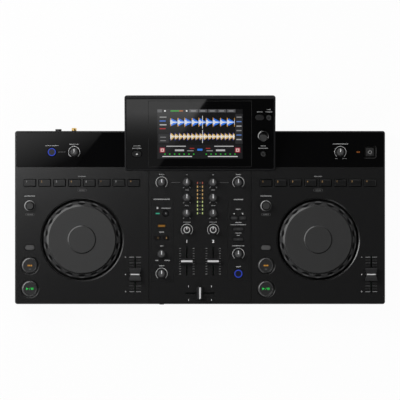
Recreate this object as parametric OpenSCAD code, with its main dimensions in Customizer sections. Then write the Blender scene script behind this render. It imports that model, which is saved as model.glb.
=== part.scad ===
// All-in-one DJ system: two jog wheel decks, a two-channel mixer and a raised touch screen in one case.
// Millimetres, +X to the right, +Y to the rear, +Z up. The origin is on the table under the middle of the
// whole outline. Distances called front are measured from the front edge of the case.

/* [Case] */
// Width of the case
body_width = 650; // [580:1:740]
// Depth of the case, front edge to rear edge
body_depth = 304; // [270:1:350]
// Height of the lower case, from its underside to the parting line
lower_height = 42; // [40:1:60]
// Height of the upper panel, from the parting line to the deck
upper_height = 14; // [13:0.5:24]
// Thickness of the case walls and of the lower case's floor
wall = 2.5; // [2:0.1:3.5]
// Thickness of the deck plate
deck_thickness = 4; // [3.6:0.1:5]
// Thickness of the mixer panel and the gloss panel, let into the deck plate
inlay_thickness = 2; // [1.5:0.1:2.4]
// Corner radius of the case in plan
corner_radius = 4; // [3:0.5:8]
// Radius of the deck's outer edge
edge_radius = 2.2; // [1:0.1:3]
// Bevel along the lower case's bottom edge
bottom_bevel = 5; // [2:0.5:8]
// Radius of a rubber foot
foot_radius = 11; // [8:0.5:15]
// Height of the underside above the table
foot_height = 6; // [4:0.5:12]
// Distance of the feet from the sides of the case
foot_inset = 45; // [25:1:60]
// Distance of the feet from the front and rear edges
foot_row = 40; // [25:1:60]

/* [Fits] */
// Gap between a key and its hole
key_gap = 0.5; // [0.4:0.05:0.8]
// Bevel round a key hole
hole_bevel = 0.7; // [0.3:0.1:1]
// Bevel round the holes of the cue and play buttons
round_bevel = 1.4; // [0.5:0.1:2]
// Travel of a key
key_travel = 0.8; // [0.5:0.1:1.2]
// Gap left under a pressed key
press_gap = 0.4; // [0.3:0.1:0.8]
// Gap round a shaft in its bushing
run_gap = 0.3; // [0.2:0.05:0.4]
// Gap between a panel and the recess that it lies in
seam = 0.25; // [0.1:0.05:0.4]
// Gap between a knob or a fader cap and the panel under it
cap_gap = 0.7; // [0.5:0.1:1.5]

/* [Decks] */
// Deck in front of the jog wheel's well
jog_front_margin = 41.7; // [34:0.1:48]
// Deck between the well and the hot cue keys
jog_rear_margin = 22.5; // [14:0.1:28]
// Width of the column of controls on either side of the well
column_width = 46.1; // [42:0.1:52]
// Depth of the well
well_depth = 10; // [9:0.5:12]
// Width of the bevel round the well
well_bevel = 2.2; // [0.5:0.1:2.6]
// Gap between the jog wheel and the wall of its well
jog_gap = 4.2; // [2:0.1:6]
// Width of the jog wheel's sloped flank in plan
jog_flank = 9.1; // [6:0.1:12]
// Width in plan of the shallow bevel at the top of the flank
jog_bevel = 4.2; // [2:0.1:5]
// Fall of that bevel
jog_bevel_fall = 2.4; // [1:0.1:3]
// Height of the jog wheel above the deck
jog_rise = 9; // [7:0.5:14]
// Radius of the raised disc in the middle of the jog wheel
jog_disc_radius = 25; // [18:0.5:40]
// Height of the raised disc
jog_disc_rise = 1.2; // [0.4:0.1:2]
// Width of the bevel round the raised disc
jog_disc_bevel = 2; // [0.6:0.1:3]
// Finger dimples round the jog wheel
dimple_count = 18; // [10:1:20]
// Radius of curvature of a finger dimple
dimple_radius = 30; // [12:0.5:40]
// Depth of a finger dimple
dimple_depth = 1.2; // [0.5:0.1:1.8]
// Radius of the jog wheel's shaft
jog_shaft_radius = 4; // [3:0.1:5]
// Plain deck at each end of the row of hot cue keys
hot_key_margin = 16.4; // [12:0.1:22]
// Gap between two hot cue keys
hot_key_gap = 6.4; // [4:0.1:9]
// Depth of a hot cue key
hot_key_depth = 11.2; // [9:0.1:14]
// Distance of the hot cue row from the gloss panel
hot_key_setback = 27.9; // [24:0.1:32]
// Distance of the left column of controls from the deck's left edge
column_inset = 26.1; // [22:0.1:28]
// Loop knob's place, as a share of the deck's depth
loop_row = 0.717; // [0.7:0.001:0.74]
// Radius of the loop knob
loop_radius = 10; // [8:0.1:11]
// Shift key's place, as a share of the deck's depth
shift_row = 0.412; // [0.4:0.001:0.44]
// Width of the shift key
shift_width = 16.3; // [13:0.1:18]
// Depth of the shift key
shift_depth = 8.6; // [7:0.1:11]
// Cue button's place, as a share of the deck's depth
cue_row = 0.2815; // [0.27:0.0005:0.3]
// Play button's place, as a share of the deck's depth
play_row = 0.112; // [0.1:0.001:0.13]
// Radius of the cue and play buttons
round_radius = 13.4; // [11:0.1:14.5]
// Distance of the tempo slider from the deck's right edge
tempo_inset = 24.2; // [20:0.1:28]
// Middle of the tempo slider's travel, as a share of the deck's depth
tempo_row = 0.2165; // [0.2:0.0005:0.24]
// Travel of the tempo slider
tempo_travel = 60; // [40:1:62]
// Width of the tempo slider's cap
tempo_cap_width = 20.4; // [16:0.1:22]
// Length of the tempo slider's cap
tempo_cap_length = 22; // [16:0.1:24]

/* [Mixer] */
// Width of the mixer panel
mixer_width = 179.6; // [160:0.1:200]
// A channel's controls, as a share of the mixer's width from the middle
channel_share = 0.1286; // [0.12:0.0002:0.14]
// Outer controls, as a share of the mixer's width from the middle
side_share = 0.3753; // [0.36:0.0001:0.38]
// Trim and high knobs' centres, as a share of the deck's depth
high_row = 0.8875; // [0.87:0.0005:0.9]
// Mid knobs' centres, as a share of the deck's depth
mid_row = 0.777; // [0.76:0.001:0.79]
// Low knobs' centres, as a share of the deck's depth
low_row = 0.663; // [0.65:0.001:0.68]
// Colour knobs' centres, as a share of the deck's depth
colour_row = 0.542; // [0.53:0.001:0.56]
// Middle of the channel faders' travel, as a share of the deck's depth
fader_row = 0.313; // [0.3:0.001:0.33]
// Travel of the channel faders and the crossfader
fader_travel = 45; // [36:1:46]
// Crossfader's centre line, as a share of the deck's depth
crossfader_row = 0.08; // [0.075:0.001:0.1]
// Radius of a channel knob's skirt
channel_knob_radius = 8; // [6.5:0.1:9]
// Radius of a level knob's skirt
level_knob_radius = 7.6; // [6.5:0.1:8.5]
// Height of a knob above the panel
knob_height = 15; // [11:0.5:22]
// Radius of a knob's shaft
shaft_radius = 3; // [2.5:0.1:3.5]
// Fader cap, across the direction of travel
fader_cap_width = 21; // [16:0.1:22]
// Fader cap, along the direction of travel
fader_cap_length = 11; // [9:0.1:13]
// Lights in one column of the level meter
meter_count = 9; // [5:1:9]
// Spacing of the meter lights
meter_pitch = 6.65; // [5:0.05:7]
// Distance of a meter column from the middle
meter_offset = 4.4; // [3.5:0.1:5]

/* [Headphone and effect blocks] */
// Upper knobs' centres, as a share of the deck's depth
upper_knob_row = 0.366; // [0.35:0.001:0.38]
// Lower knob's and effect button's centres, as a share of the deck's depth
lower_knob_row = 0.2215; // [0.21:0.0005:0.24]
// Gap between the two beat keys
pair_gap = 2.8; // [2.4:0.1:4]
// Pairing button's centre, as a share of the deck's depth
pairing_row = 0.661; // [0.65:0.001:0.68]
// Radius of the pairing button
pairing_radius = 4.2; // [3.5:0.1:4.8]
// Master cue key's centre, as a share of the deck's depth
master_cue_row = 0.5705; // [0.56:0.0005:0.59]
// Width of the master cue key
master_cue_width = 12.8; // [10:0.1:15]
// Depth of the master cue key
master_cue_depth = 4; // [3.5:0.1:6]
// Cue keys' centres, as a share of the deck's depth
pair_key_row = 0.482; // [0.47:0.001:0.5]
// Width of a cue key
pair_key_width = 8.8; // [7:0.1:9.4]
// Depth of a cue key
pair_key_depth = 5.3; // [4:0.1:7]
// Beat keys' centres, as a share of the deck's depth
beat_row = 0.628; // [0.61:0.001:0.64]
// Width of a beat key
beat_width = 12; // [9:0.1:13]
// Depth of a beat key
beat_depth = 6; // [5:0.1:8]
// Effect select key's centre, as a share of the deck's depth
select_row = 0.5475; // [0.53:0.0005:0.56]
// Channel select key's centre, as a share of the deck's depth
assign_row = 0.4725; // [0.46:0.0005:0.49]
// Width of the select keys
select_width = 17.6; // [14:0.1:20]
// Depth of the select keys
select_depth = 5.6; // [4.5:0.1:7]
// Radius of the effect and microphone buttons
ring_radius = 7.2; // [6:0.1:8]

/* [Rear strip] */
// Depth of the gloss panel's strip, from the rear edge of the case
strip_depth = 63.3; // [60:0.1:66]
// Distance of the strip's controls from the rear edge
strip_row = 37; // [30:0.5:42]
// Microphone button's distance from the left side
mic_button_inset = 64.7; // [60:0.1:75]
// Microphone knob's distance from the left side
mic_knob_inset = 104; // [98:0.1:120]
// Master knob's distance from the right side
master_knob_inset = 78.4; // [70:0.1:90]
// Power button's distance from the right side
power_inset = 26.6; // [24:0.1:34]
// Width of the square power button
power_width = 14; // [11:0.1:16]
// Width of the recess round the power button
power_recess = 21; // [20:0.1:24]

/* [Screen] */
// Width of the screen unit
screen_width = 264.3; // [258:0.1:290]
// Depth of the screen unit in plan
screen_depth = 131; // [131:0.1:140]
// How far the screen unit reaches behind the case
screen_overhang = 61.8; // [58:0.1:66]
// Tilt of the screen towards the user
screen_tilt = 22; // [18:0.5:30]
// Height of the screen unit's front edge above the deck
screen_lip = 4; // [4:0.1:8]
// Width of the rim round the screen's front
rim = 3; // [2:0.1:4]
// Thickness of the screen's front plate
bezel_thickness = 3; // [2.6:0.1:4]
// Width of the glass
glass_width = 180.6; // [160:0.1:200]
// Front plate in front of the glass and behind it
glass_margin = 3.85; // [2:0.05:8]
// Thickness of the glass
glass_thickness = 1.6; // [1:0.1:1.8]
// Outer screen controls, as a share of the field beside the glass
screen_key_share = 0.5895; // [0.54:0.0005:0.66]
// Back key's place, as a share of the field beside the glass
back_share = 0.405; // [0.385:0.001:0.42]
// Tag key's place, as a share of the field beside the glass
tag_share = 0.8645; // [0.842:0.0005:0.87]
// Lower screen keys' place, as a share of the slope
screen_low_share = 0.2215; // [0.2:0.0005:0.25]
// Browse knob's place, as a share of the slope
browse_share = 0.4685; // [0.44:0.0005:0.5]
// Upper screen keys' place, as a share of the slope
screen_high_share = 0.7055; // [0.67:0.0005:0.75]
// Radius of the browse knob
browse_radius = 9.7; // [8:0.1:11]
// Radius of the round screen keys, as a share of the field beside the glass
screen_round_share = 0.1295; // [0.108:0.0005:0.13]
// Width of the settings key
settings_width = 16.5; // [13:0.1:19]
// Depth of the settings key
settings_depth = 11; // [8:0.1:12]
// Width of the back key, as a share of the field beside the glass
back_width_share = 0.4395; // [0.36:0.0005:0.48]
// Depth of the back key
back_depth = 9.8; // [7:0.1:12]

/* [Sockets] */
// Radius of a 6.35 mm jack's bore
jack_radius = 3.2; // [3.18:0.01:3.3]
// Depth of a jack's bore
jack_depth = 15; // [12:0.5:20]
// Radius of the microphone jack's nut
jack_nut_radius = 5.45; // [4.8:0.05:6]
// How far the microphone jack stands out of the rear
mic_jack_proud = 3.5; // [2:0.1:6]
// How far the headphone jack stands out of the front
jack_proud = 1.3; // [0.8:0.1:3]
// Radius of a phono socket's barrel
phono_radius = 4.15; // [4.1:0.01:4.2]
// How far the phono sockets stand out of the rear
phono_proud = 5.4; // [4:0.1:9]
// Spacing of the stacked phono sockets
phono_pitch = 15; // [13:0.5:18]

/* [Hidden] */
$fn = 64;

// Colours of the finishes
matte_black = "#242426";
gloss_black = "#0c0c0e";
key_black = "#1b1b1d";
rubber_black = "#151515";
board_green = "#1d4a2f";
steel = "#b4b6ba";

// How far a cut runs past the face it opens
cut = 1;
sides = [-1, 1];

// Levels
total_depth = body_depth + screen_overhang + jack_proud;
front_y = jack_proud - total_depth / 2;
rear_y = front_y + body_depth;
middle_y = front_y + body_depth / 2;
split_z = foot_height + lower_height;
deck_z = split_z + upper_height;
plate_z = deck_z - deck_thickness;
ledge_z = deck_z - inlay_thickness;
floor_z = foot_height + wall;

// The control board hangs under the deck plate
board_gap = 12;
board_drop = deck_thickness + board_gap;
board_thickness = 1.6;
board_z = deck_z - board_drop;
board_margin = 8;
switch_height = 4;
switch_width = 6;
pot_width = 10;
pot_height = 6.5;
bush_wall = 1.3;
bush_height = 4.5;
shaft_clear = 1.5;
post_radius = 3;

// Keys and their flanges
key_bevel = 0.5;
// Depth of the bevel of a round hole, for each millimetre of its width
bevel_slope = 0.55;
key_corner = 1.2;
flange_lip = 0.8;
flange_gap = 0.5;
flange_thickness = 1.2;
stem_radius = 1.8;
key_rise = 1.6;
round_rise = 2.4;
key_hole_shaft = shaft_radius + 0.8;

// Decks
deck_width = (body_width - mixer_width) / 2;
deck_x = (mixer_width + deck_width) / 2;
strip_front = body_depth - strip_depth;
hot_key_front = strip_front - hot_key_setback;
hot_key_count = 8;
hot_key_width = (deck_width - 2 * hot_key_margin - (hot_key_count - 1) * hot_key_gap) / hot_key_count;
hot_key_pitch = hot_key_width + hot_key_gap;
hot_key_x = [for (i = [0:hot_key_count - 1]) (i - (hot_key_count - 1) / 2) * hot_key_pitch];
jog_field = hot_key_front - hot_key_depth / 2 - jog_rear_margin - jog_front_margin;
jog_front = jog_front_margin + jog_field / 2;
well_radius = min(jog_field, deck_width - 2 * column_width) / 2;
jog_radius = well_radius - jog_gap;
jog_top_radius = jog_radius - jog_flank;
column_offset = deck_width / 2 - column_inset;
tempo_offset = deck_width / 2 - tempo_inset;
loop_front = loop_row * strip_front;
shift_front = shift_row * strip_front;
cue_front = cue_row * strip_front;
play_front = play_row * strip_front;
tempo_front = tempo_row * strip_front;
well_z = deck_z - well_depth;
bush_radius = jog_shaft_radius + 2;
hub_radius = bush_radius + 3;
hub_length = 8;
bush_flange = 1;
clip_radius = jog_shaft_radius + 1.8;
clip_gap = 0.4;

// Faders
blade_thickness = 1;
blade_length = 5;
slot_gap = 0.5;
slot_width = blade_thickness + 2 * slot_gap;
rail_width = 9;
rail_height = 7;
rail_margin = 6;
fader_cap_height = 11;

// Mixer
channel_offset = channel_share * mixer_width;
side_offset = side_share * mixer_width;
pair_offset = (beat_width + pair_gap) / 2;
high_front = high_row * strip_front;
mid_front = mid_row * strip_front;
low_front = low_row * strip_front;
colour_front = colour_row * strip_front;
fader_front = fader_row * strip_front;
crossfader_front = crossfader_row * strip_front;
upper_knob_front = upper_knob_row * strip_front;
lower_knob_front = lower_knob_row * strip_front;
pairing_front = pairing_row * strip_front;
master_cue_front = master_cue_row * strip_front;
pair_key_front = pair_key_row * strip_front;
beat_front = beat_row * strip_front;
select_front = select_row * strip_front;
assign_front = assign_row * strip_front;

// Level meter
meter_front = low_front;
light_width = 2.2;
light_depth = 4.2;
light_gap = 0.2;

// Rear strip
strip_y_front = body_depth - strip_row;
mic_button_x = mic_button_inset - body_width / 2;
mic_knob_x = mic_knob_inset - body_width / 2;
master_knob_x = body_width / 2 - master_knob_inset;
power_x = body_width / 2 - power_inset;
power_rise = 0.6;

// Screen unit
screen_front = body_depth + screen_overhang - screen_depth;
screen_rear = screen_front + screen_depth;
screen_slope = tan(screen_tilt);
face_length = screen_depth / cos(screen_tilt);
screen_corner = 4.5;
rim_bevel = 2;
rear_bevel = 3.8;
rear_depth = 20;
pedestal_inset = 6;
bezel_ledge = 3;
ledge_thickness = 2;
screen_board_gap = 8;
screen_board_drop = bezel_thickness + screen_board_gap;
display_margin = 10;
display_thickness = 5;
bezel_width = screen_width - 2 * rim;
bezel_length = face_length - 2 * rim - rear_bevel / cos(screen_tilt);
bezel_middle = rim + bezel_length / 2;
glass_length = bezel_length - 2 * glass_margin;
key_field = bezel_width / 2 - bezel_ledge - flange_lip - seam - glass_width / 2;
screen_key_offset = glass_width / 2 + screen_key_share * key_field;
screen_low_row = screen_low_share * face_length;
browse_row = browse_share * face_length;
screen_high_row = screen_high_share * face_length;
screen_round_radius = screen_round_share * key_field;
back_width = back_width_share * key_field;
screen_post_offset = glass_width / 2 + 0.36 * key_field;
screen_post_span = 16;
screen_board_inner = glass_width / 2 + 6;
screen_board_outer = screen_width / 2 - wall - 1;
screen_board_end = 6;

// Screw posts under the deck
screw_radius = 1.5;
screw_head_radius = 2.75;
screw_head_height = 2;
screw_length = 10;
post_join_z = board_z - 6;
post_wall = 1.6;
boss_radius = 4;
screw_side = 12;
screw_end = 10;
rear_screw_gap = 18;
rear_post_gap = 30;
rear_screw_x = screen_width / 2 + rear_screw_gap;
rear_post_x = rear_screw_x + rear_post_gap;
board_post_front = jog_front + well_radius + jog_rear_margin / 2;
screw_points = [for (s = sides) each [
    [s * (body_width / 2 - screw_side), screw_end],
    [s * (mixer_width / 2 + screw_end), screw_end],
    [s * (body_width / 2 - screw_side), body_depth - screw_end],
    [s * rear_screw_x, body_depth - screw_end]
]];
board_posts = [for (s = sides) each [
    [s * (deck_x + deck_width / 4), board_post_front],
    [s * (deck_x - deck_width / 4), board_post_front],
    [s * deck_x, jog_front_margin * 0.4],
    [s * rear_post_x, body_depth - 2 * screw_end]
]];

// Rear and front sockets
socket_z = foot_height + lower_height / 2 + 1;
window_gap = 0.2;
jack_block = 11;
mic_jack_shift = 11;
mic_jack_x = mic_button_x + mic_jack_shift;
phono_x = mic_knob_x - 0.7;
phono_block = 15;
phono_recess = 3;
headphone_x = -side_offset;
xlr_x = [-119, -84];
xlr_radius = 9.4;
xlr_wall = 1.8;
xlr_depth = 13;
xlr_flange = [26, 31, 1.8];
xlr_pin_radius = 1.2;
xlr_pin_circle = 5;
inlet_x = 90;
inlet_size = [24.4, 16.4];
inlet_depth = 16;
inlet_flange = [30, 22, 1.6];
shelf_rise = 13;
shelf_depth = 18;
shelf_thickness = 2;
usb_b_x = -14;
usb_b_size = [8.6, 7.8];
usb_a_x = 20;
usb_a_size = [12.6, 5.2];
usb_depth = 12;
usb_wall = 0.8;
usb_b_tongue = [usb_b_size.x - 3, usb_b_size.y - 4.6];
usb_a_tongue = [usb_a_size.x - 1.5, usb_a_size.y - 3.4];
usb_a_tongue_rise = 1.3;

// Controls that stand on the board, as places in plan
deck_knob_places = [for (s = sides) [s * deck_x - column_offset, loop_front]];
channel_rows = [high_front, mid_front, low_front, colour_front];
mixer_knob_places = concat(
    [for (s = sides) [s * side_offset, high_front]],
    [for (s = sides) for (row = channel_rows) [s * channel_offset, row]],
    [[-side_offset, upper_knob_front], [-side_offset, lower_knob_front], [side_offset, upper_knob_front]]
);
strip_knob_places = [[mic_knob_x, strip_y_front], [master_knob_x, strip_y_front]];
hot_key_places = [for (s = sides) for (x = hot_key_x) [s * deck_x + x, hot_key_front]];
shift_places = [for (s = sides) [s * deck_x - column_offset, shift_front]];
round_places = [for (s = sides) for (f = [cue_front, play_front]) [s * deck_x - column_offset, f]];
pairing_place = [-side_offset + pair_offset, pairing_front];
master_cue_place = [-side_offset, master_cue_front];
cue_key_places = [for (s = sides) [-side_offset + s * pair_offset, pair_key_front]];
beat_places = [for (s = sides) [side_offset + s * pair_offset, beat_front]];
select_place = [side_offset, select_front];
assign_place = [side_offset, assign_front];
effect_place = [side_offset, lower_knob_front];
mic_button_place = [mic_button_x, strip_y_front];
power_place = [power_x, strip_y_front];
switch_places = concat(
    hot_key_places, shift_places, round_places, cue_key_places, beat_places,
    [pairing_place, master_cue_place, select_place, assign_place, effect_place],
    [mic_button_place, power_place]
);
tempo_places = [for (s = sides) [s * deck_x + tempo_offset, tempo_front]];
fader_places = [for (s = sides) [s * channel_offset, fader_front]];
settings_place = [-screen_key_offset, screen_low_row];
menu_place = [screen_key_offset, screen_low_row];
browse_place = [screen_key_offset, browse_row];
back_place = [glass_width / 2 + back_share * key_field, screen_high_row];
tag_place = [glass_width / 2 + tag_share * key_field, screen_high_row];

// Outline of a rectangle with round corners, centred on the origin
function round_rect(w, d, r, steps = 4) = [
    for (quarter = [0:3]) for (i = [0:steps])
        let (a = 90 * (quarter + i / steps),
             sx = quarter == 0 || quarter == 3 ? 1 : -1,
             sy = quarter < 2 ? 1 : -1)
            [sx * (w / 2 - r) + r * cos(a), sy * (d / 2 - r) + r * sin(a)]
];

// Outline of a ribbed grip
function ribbed(r, ribs, depth) = [
    for (i = [0:2 * ribs - 1])
        let (a = 180 * i / ribs, s = i % 2 == 0 ? r : r - depth) [s * cos(a), s * sin(a)]
];

// Height of the screen's front face at a distance behind the screen's front edge
function face_z(back) = deck_z + screen_lip + back * screen_slope;

// Moves its children to a place in plan at a height
module at_place(place, z) translate([place.x, front_y + place.y, z]) children();

// Moves its children onto the screen's sloping face, with +Y up the slope
module on_screen(place = [0, 0])
    translate([0, front_y + screen_front, deck_z + screen_lip])
        rotate([screen_tilt, 0, 0]) translate([place.x, place.y, 0]) children();

// A plate with round corners standing on the plane z = 0
module plate(w, d, r, t) linear_extrude(t) polygon(round_rect(w, d, r));

// A plate whose upper edge is bevelled
module bevelled_plate(w, d, r, t, c) {
    plate(w, d, r, t - c);
    translate([0, 0, t - c])
        linear_extrude(c, scale = [1 - 2 * c / w, 1 - 2 * c / d], slices = 1, segments = 1)
            polygon(round_rect(w, d, r));
}

// A plate with a rounded upper edge
module rounded_block(w, d, r, z, top, edge) {
    skin = 0.02;
    hull() {
        translate([0, 0, z]) plate(w, d, r, skin);
        for (a = [0:30:90]) {
            inset = edge * (1 - cos(a));
            translate([0, 0, top - skin - edge * (1 - sin(a))])
                plate(w - 2 * inset, d - 2 * inset, max(r - inset, 0.5), skin);
        }
    }
}

// The hole that a key moves in, bevelled at its mouth on the plane z = 0
module key_hole(w, d, r, depth) {
    hole_w = w + 2 * key_gap;
    hole_d = d + 2 * key_gap;
    hole_r = r + key_gap;
    translate([0, 0, -depth - cut]) plate(hole_w, hole_d, hole_r, depth + 2 * cut);
    translate([0, 0, -hole_bevel])
        linear_extrude(2 * hole_bevel, scale = [1 + 4 * hole_bevel / hole_w, 1 + 4 * hole_bevel / hole_d],
                       slices = 1, segments = 1)
            polygon(round_rect(hole_w, hole_d, hole_r));
}

// The hole that a round button moves in, bevelled at its mouth on the plane z = 0
module round_hole(r, depth, bevel) {
    translate([0, 0, -depth - cut]) cylinder(r = r + key_gap, h = depth + 2 * cut);
    bevel_cut(r + key_gap, bevel);
}

// The bevel at the mouth of a round hole, its panel's face on the plane z = 0
module bevel_cut(r, bevel) translate([0, 0, -bevel * bevel_slope])
    cylinder(r1 = r, r2 = r + 2 * bevel, h = 2 * bevel * bevel_slope);

// Stem from a key's flange down to just above its switch
module key_stem(panel, drop) {
    top = -panel - flange_gap - flange_thickness;
    bottom = -drop + switch_height + key_travel + press_gap;
    translate([0, 0, bottom]) cylinder(r = stem_radius, h = top - bottom + flange_thickness / 2);
}

// A key with a flange that keeps it under the panel, its panel's face on the plane z = 0
module key(w, d, r, rise, panel, drop) {
    under = -panel - flange_gap;
    translate([0, 0, under]) bevelled_plate(w, d, r, rise - under, key_bevel);
    translate([0, 0, under - flange_thickness])
        plate(w + 2 * flange_lip, d + 2 * flange_lip, r + flange_lip, flange_thickness);
    key_stem(panel, drop);
}

// A round button with a shallow dish in its face, its panel's face on the plane z = 0
module round_key(r, rise, dish, panel, drop) {
    under = -panel - flange_gap;
    rotate_extrude() polygon([
        [0, under - flange_thickness], [r + flange_lip, under - flange_thickness], [r + flange_lip, under],
        [r, under], [r, rise - key_bevel], [r - key_bevel, rise], [r * 0.86, rise],
        [r * 0.8, rise - dish], [0, rise - dish]
    ]);
    key_stem(panel, drop);
}

// Shaft of a knob, down into its bushing on the board
module knob_shaft(radius, drop) translate([0, 0, shaft_clear - drop])
    cylinder(r = radius, h = drop - shaft_clear + cap_gap + 1);

// A skirted knob with a ribbed grip and a pointer groove, its panel's face on the plane z = 0
module knob(r, height, drop) {
    grip = 0.8 * r;
    top = grip - 0.9;
    skirt = 2.6;
    pointer = 1.6;
    pointer_back = 1.5;
    pointer_depth = 0.5;
    ribs = 18;
    difference() {
        union() {
            rotate_extrude() polygon([
                [0, cap_gap], [r, cap_gap], [r, cap_gap + skirt - 0.8], [r - 0.8, cap_gap + skirt],
                [0, cap_gap + skirt]
            ]);
            intersection() {
                translate([0, 0, cap_gap + 1])
                    linear_extrude(height - cap_gap - 1) polygon(ribbed(grip, ribs, 0.5));
                rotate_extrude() polygon([
                    [0, 0], [grip + 0.4, 0], [top, height - 1], [top - 1, height], [0, height]
                ]);
            }
        }
        translate([-pointer / 2, -pointer_back, height - pointer_depth])
            cube([pointer, r + pointer_back, pointer_depth + cut]);
    }
    knob_shaft(shaft_radius, drop);
}

// A turning knob: a round grip on a bevelled skirt, its panel's face on the plane z = 0
module turning_knob(r, height, drop) {
    grip = 0.66 * r;
    skirt = cap_gap + 3.4;
    skirt_top = 0.81 * r;
    dish = 0.5;
    rotate_extrude() polygon([
        [0, cap_gap], [r, cap_gap], [r, skirt - (r - skirt_top) * 0.7], [skirt_top, skirt],
        [grip + 0.3, skirt], [grip, height - 0.8], [grip - 0.6, height], [grip - 0.8, height],
        [grip - 1.4, height - dish], [0, height - dish]
    ]);
    knob_shaft(shaft_radius, drop);
}

// Blade of a fader, through its slot and down into the rail on the board, moving along y
module fader_blade(drop) translate([-blade_thickness / 2, -blade_length / 2, shaft_clear + 1 - drop])
    cube([blade_thickness, blade_length, drop - shaft_clear + cap_gap]);

// A fader cap with sloped flanks and a raised line across, moving along y
module fader_cap(w, length, height) {
    crest = length * 0.22;
    rotate([90, 0, 90]) translate([0, 0, -w / 2]) linear_extrude(w) polygon([
        [-length / 2, cap_gap], [-length / 2, cap_gap + 3], [-crest - 0.8, height - 2.2],
        [-crest, height - 0.5], [-crest + 0.5, height], [crest - 0.5, height], [crest, height - 0.5],
        [crest + 0.8, height - 2.2],
        [length / 2, cap_gap + 3], [length / 2, cap_gap]
    ]);
}

// A long cap drawn in at its waist, with a saddle for the finger, moving along y
module waisted_cap(w, length, height) {
    waist = w * 0.81;
    saddle = 3.4;
    intersection() {
        linear_extrude(height + cut) polygon([
            [w / 2, -length / 2], [w / 2, -length * 0.36],
            [waist / 2, -length * 0.12], [waist / 2, length * 0.12],
            [w / 2, length * 0.36], [w / 2, length / 2], [-w / 2, length / 2], [-w / 2, length * 0.36],
            [-waist / 2, length * 0.12], [-waist / 2, -length * 0.12], [-w / 2, -length * 0.36],
            [-w / 2, -length / 2]
        ]);
        rotate([90, 0, 90]) translate([0, 0, -w]) linear_extrude(2 * w) polygon(concat(
            [[-length / 2, cap_gap], [-length / 2, height - 2], [-length / 2 + 1.6, height]],
            [for (i = [-4:4]) [i * length * 0.09, height - saddle * pow(cos(i * 22.5), 2)]],
            [[length / 2 - 1.6, height], [length / 2, height - 2], [length / 2, cap_gap]]
        ));
    }
}

// A slot in a panel for a fader's blade, along y, its panel's face on the plane z = 0
module fader_slot(travel, depth) translate([0, 0, -depth - cut])
    plate(slot_width, travel + blade_length + 2 * slot_gap, slot_width / 2 - 0.01, depth + 2 * cut);

// Rail on the board that a fader's blade runs in, along y, standing on the plane z = 0
module fader_rail(travel) {
    length = travel + blade_length + 2 * rail_margin;
    difference() {
        translate([-rail_width / 2, -length / 2, 0]) cube([rail_width, length, rail_height]);
        translate([-slot_width / 2, -length / 2 + rail_margin - slot_gap, shaft_clear])
            cube([slot_width, travel + blade_length + 2 * slot_gap, rail_height]);
    }
}

// Potentiometer or encoder body with the bushing that a knob's shaft turns in
module shaft_bearing() difference() {
    union() {
        translate([-pot_width / 2, -pot_width / 2, 0]) cube([pot_width, pot_width, pot_height]);
        cylinder(r = shaft_radius + run_gap + bush_wall, h = pot_height + bush_height);
    }
    translate([0, 0, shaft_clear - 0.5]) cylinder(r = shaft_radius + run_gap, h = pot_height + bush_height);
}

// Push switch under a key
module push_switch() {
    translate([-switch_width / 2, -switch_width / 2, 0])
        cube([switch_width, switch_width, switch_height - 1]);
    cylinder(r = stem_radius, h = switch_height);
}

// Case
module lower_tub() difference() {
    hull() {
        translate([0, middle_y, foot_height + bottom_bevel])
            plate(body_width, body_depth, corner_radius, lower_height - bottom_bevel);
        translate([0, middle_y, foot_height])
            plate(body_width - 2 * bottom_bevel, body_depth - 2 * bottom_bevel, corner_radius, wall);
    }
    hull() {
        translate([0, middle_y, floor_z + bottom_bevel])
            plate(body_width - 2 * wall, body_depth - 2 * wall, corner_radius - wall + 1, lower_height + cut);
        translate([0, middle_y, floor_z])
            plate(body_width - 2 * (wall + bottom_bevel), body_depth - 2 * (wall + bottom_bevel),
                  corner_radius, wall);
    }
}

// Lip along the parting line that locates the upper panel
module parting_lip(grow) {
    lip_w = body_width - wall + 2 * grow;
    lip_d = body_depth - wall + 2 * grow;
    translate([0, middle_y, split_z - wall]) difference() {
        plate(lip_w, lip_d, corner_radius - wall / 2 + 0.5, 2 * wall - 1 + grow);
        translate([0, 0, -cut])
            plate(body_width - 2 * wall, body_depth - 2 * wall, corner_radius - wall + 1, 2 * wall + 2 * cut);
    }
}

// Openings in the lower case for the sockets
module socket_windows() {
    block = jack_block + 2 * window_gap;
    rear = rear_y - wall / 2;
    window = 2 * wall;
    translate([mic_jack_x, rear, socket_z]) cube([block, window, block], center = true);
    translate([headphone_x, front_y, socket_z]) cube([block, window + wall, block], center = true);
    translate([phono_x, rear, socket_z])
        cube([phono_block + 2 * window_gap, window, phono_pitch + phono_block + 2 * window_gap],
             center = true);
    for (x = xlr_x)
        translate([x, rear_y + cut, socket_z]) rotate([90, 0, 0])
            cylinder(r = xlr_radius + xlr_wall + window_gap, h = wall + 2 * cut);
    translate([inlet_x, rear, socket_z])
        cube([inlet_size.x + 2 * wall + 2 * window_gap, window, inlet_size.y + 2 * wall + 2 * window_gap],
             center = true);
    for (usb = [[usb_b_x, usb_b_size], [usb_a_x, usb_a_size]])
        translate([usb[0], rear, socket_z])
            cube([usb[1].x + 2 * usb_wall + 2 * window_gap, window, usb[1].y + 2 * usb_wall + 2 * window_gap],
                 center = true);
}

foot_recess = 1;
foot_places = [for (s = sides) for (f = [foot_row, body_depth - foot_row])
    [s * (body_width / 2 - foot_inset), f]];
post_radius_outer = screw_head_radius + 0.6 + post_wall;

// A shelf inside the rear wall, over sockets whose plugs are pulled hard
module socket_shelf(from_x, to_x) translate([from_x, rear_y - wall - shelf_depth, socket_z + shelf_rise])
    cube([to_x - from_x, shelf_depth + wall / 2, shelf_thickness]);

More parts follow.
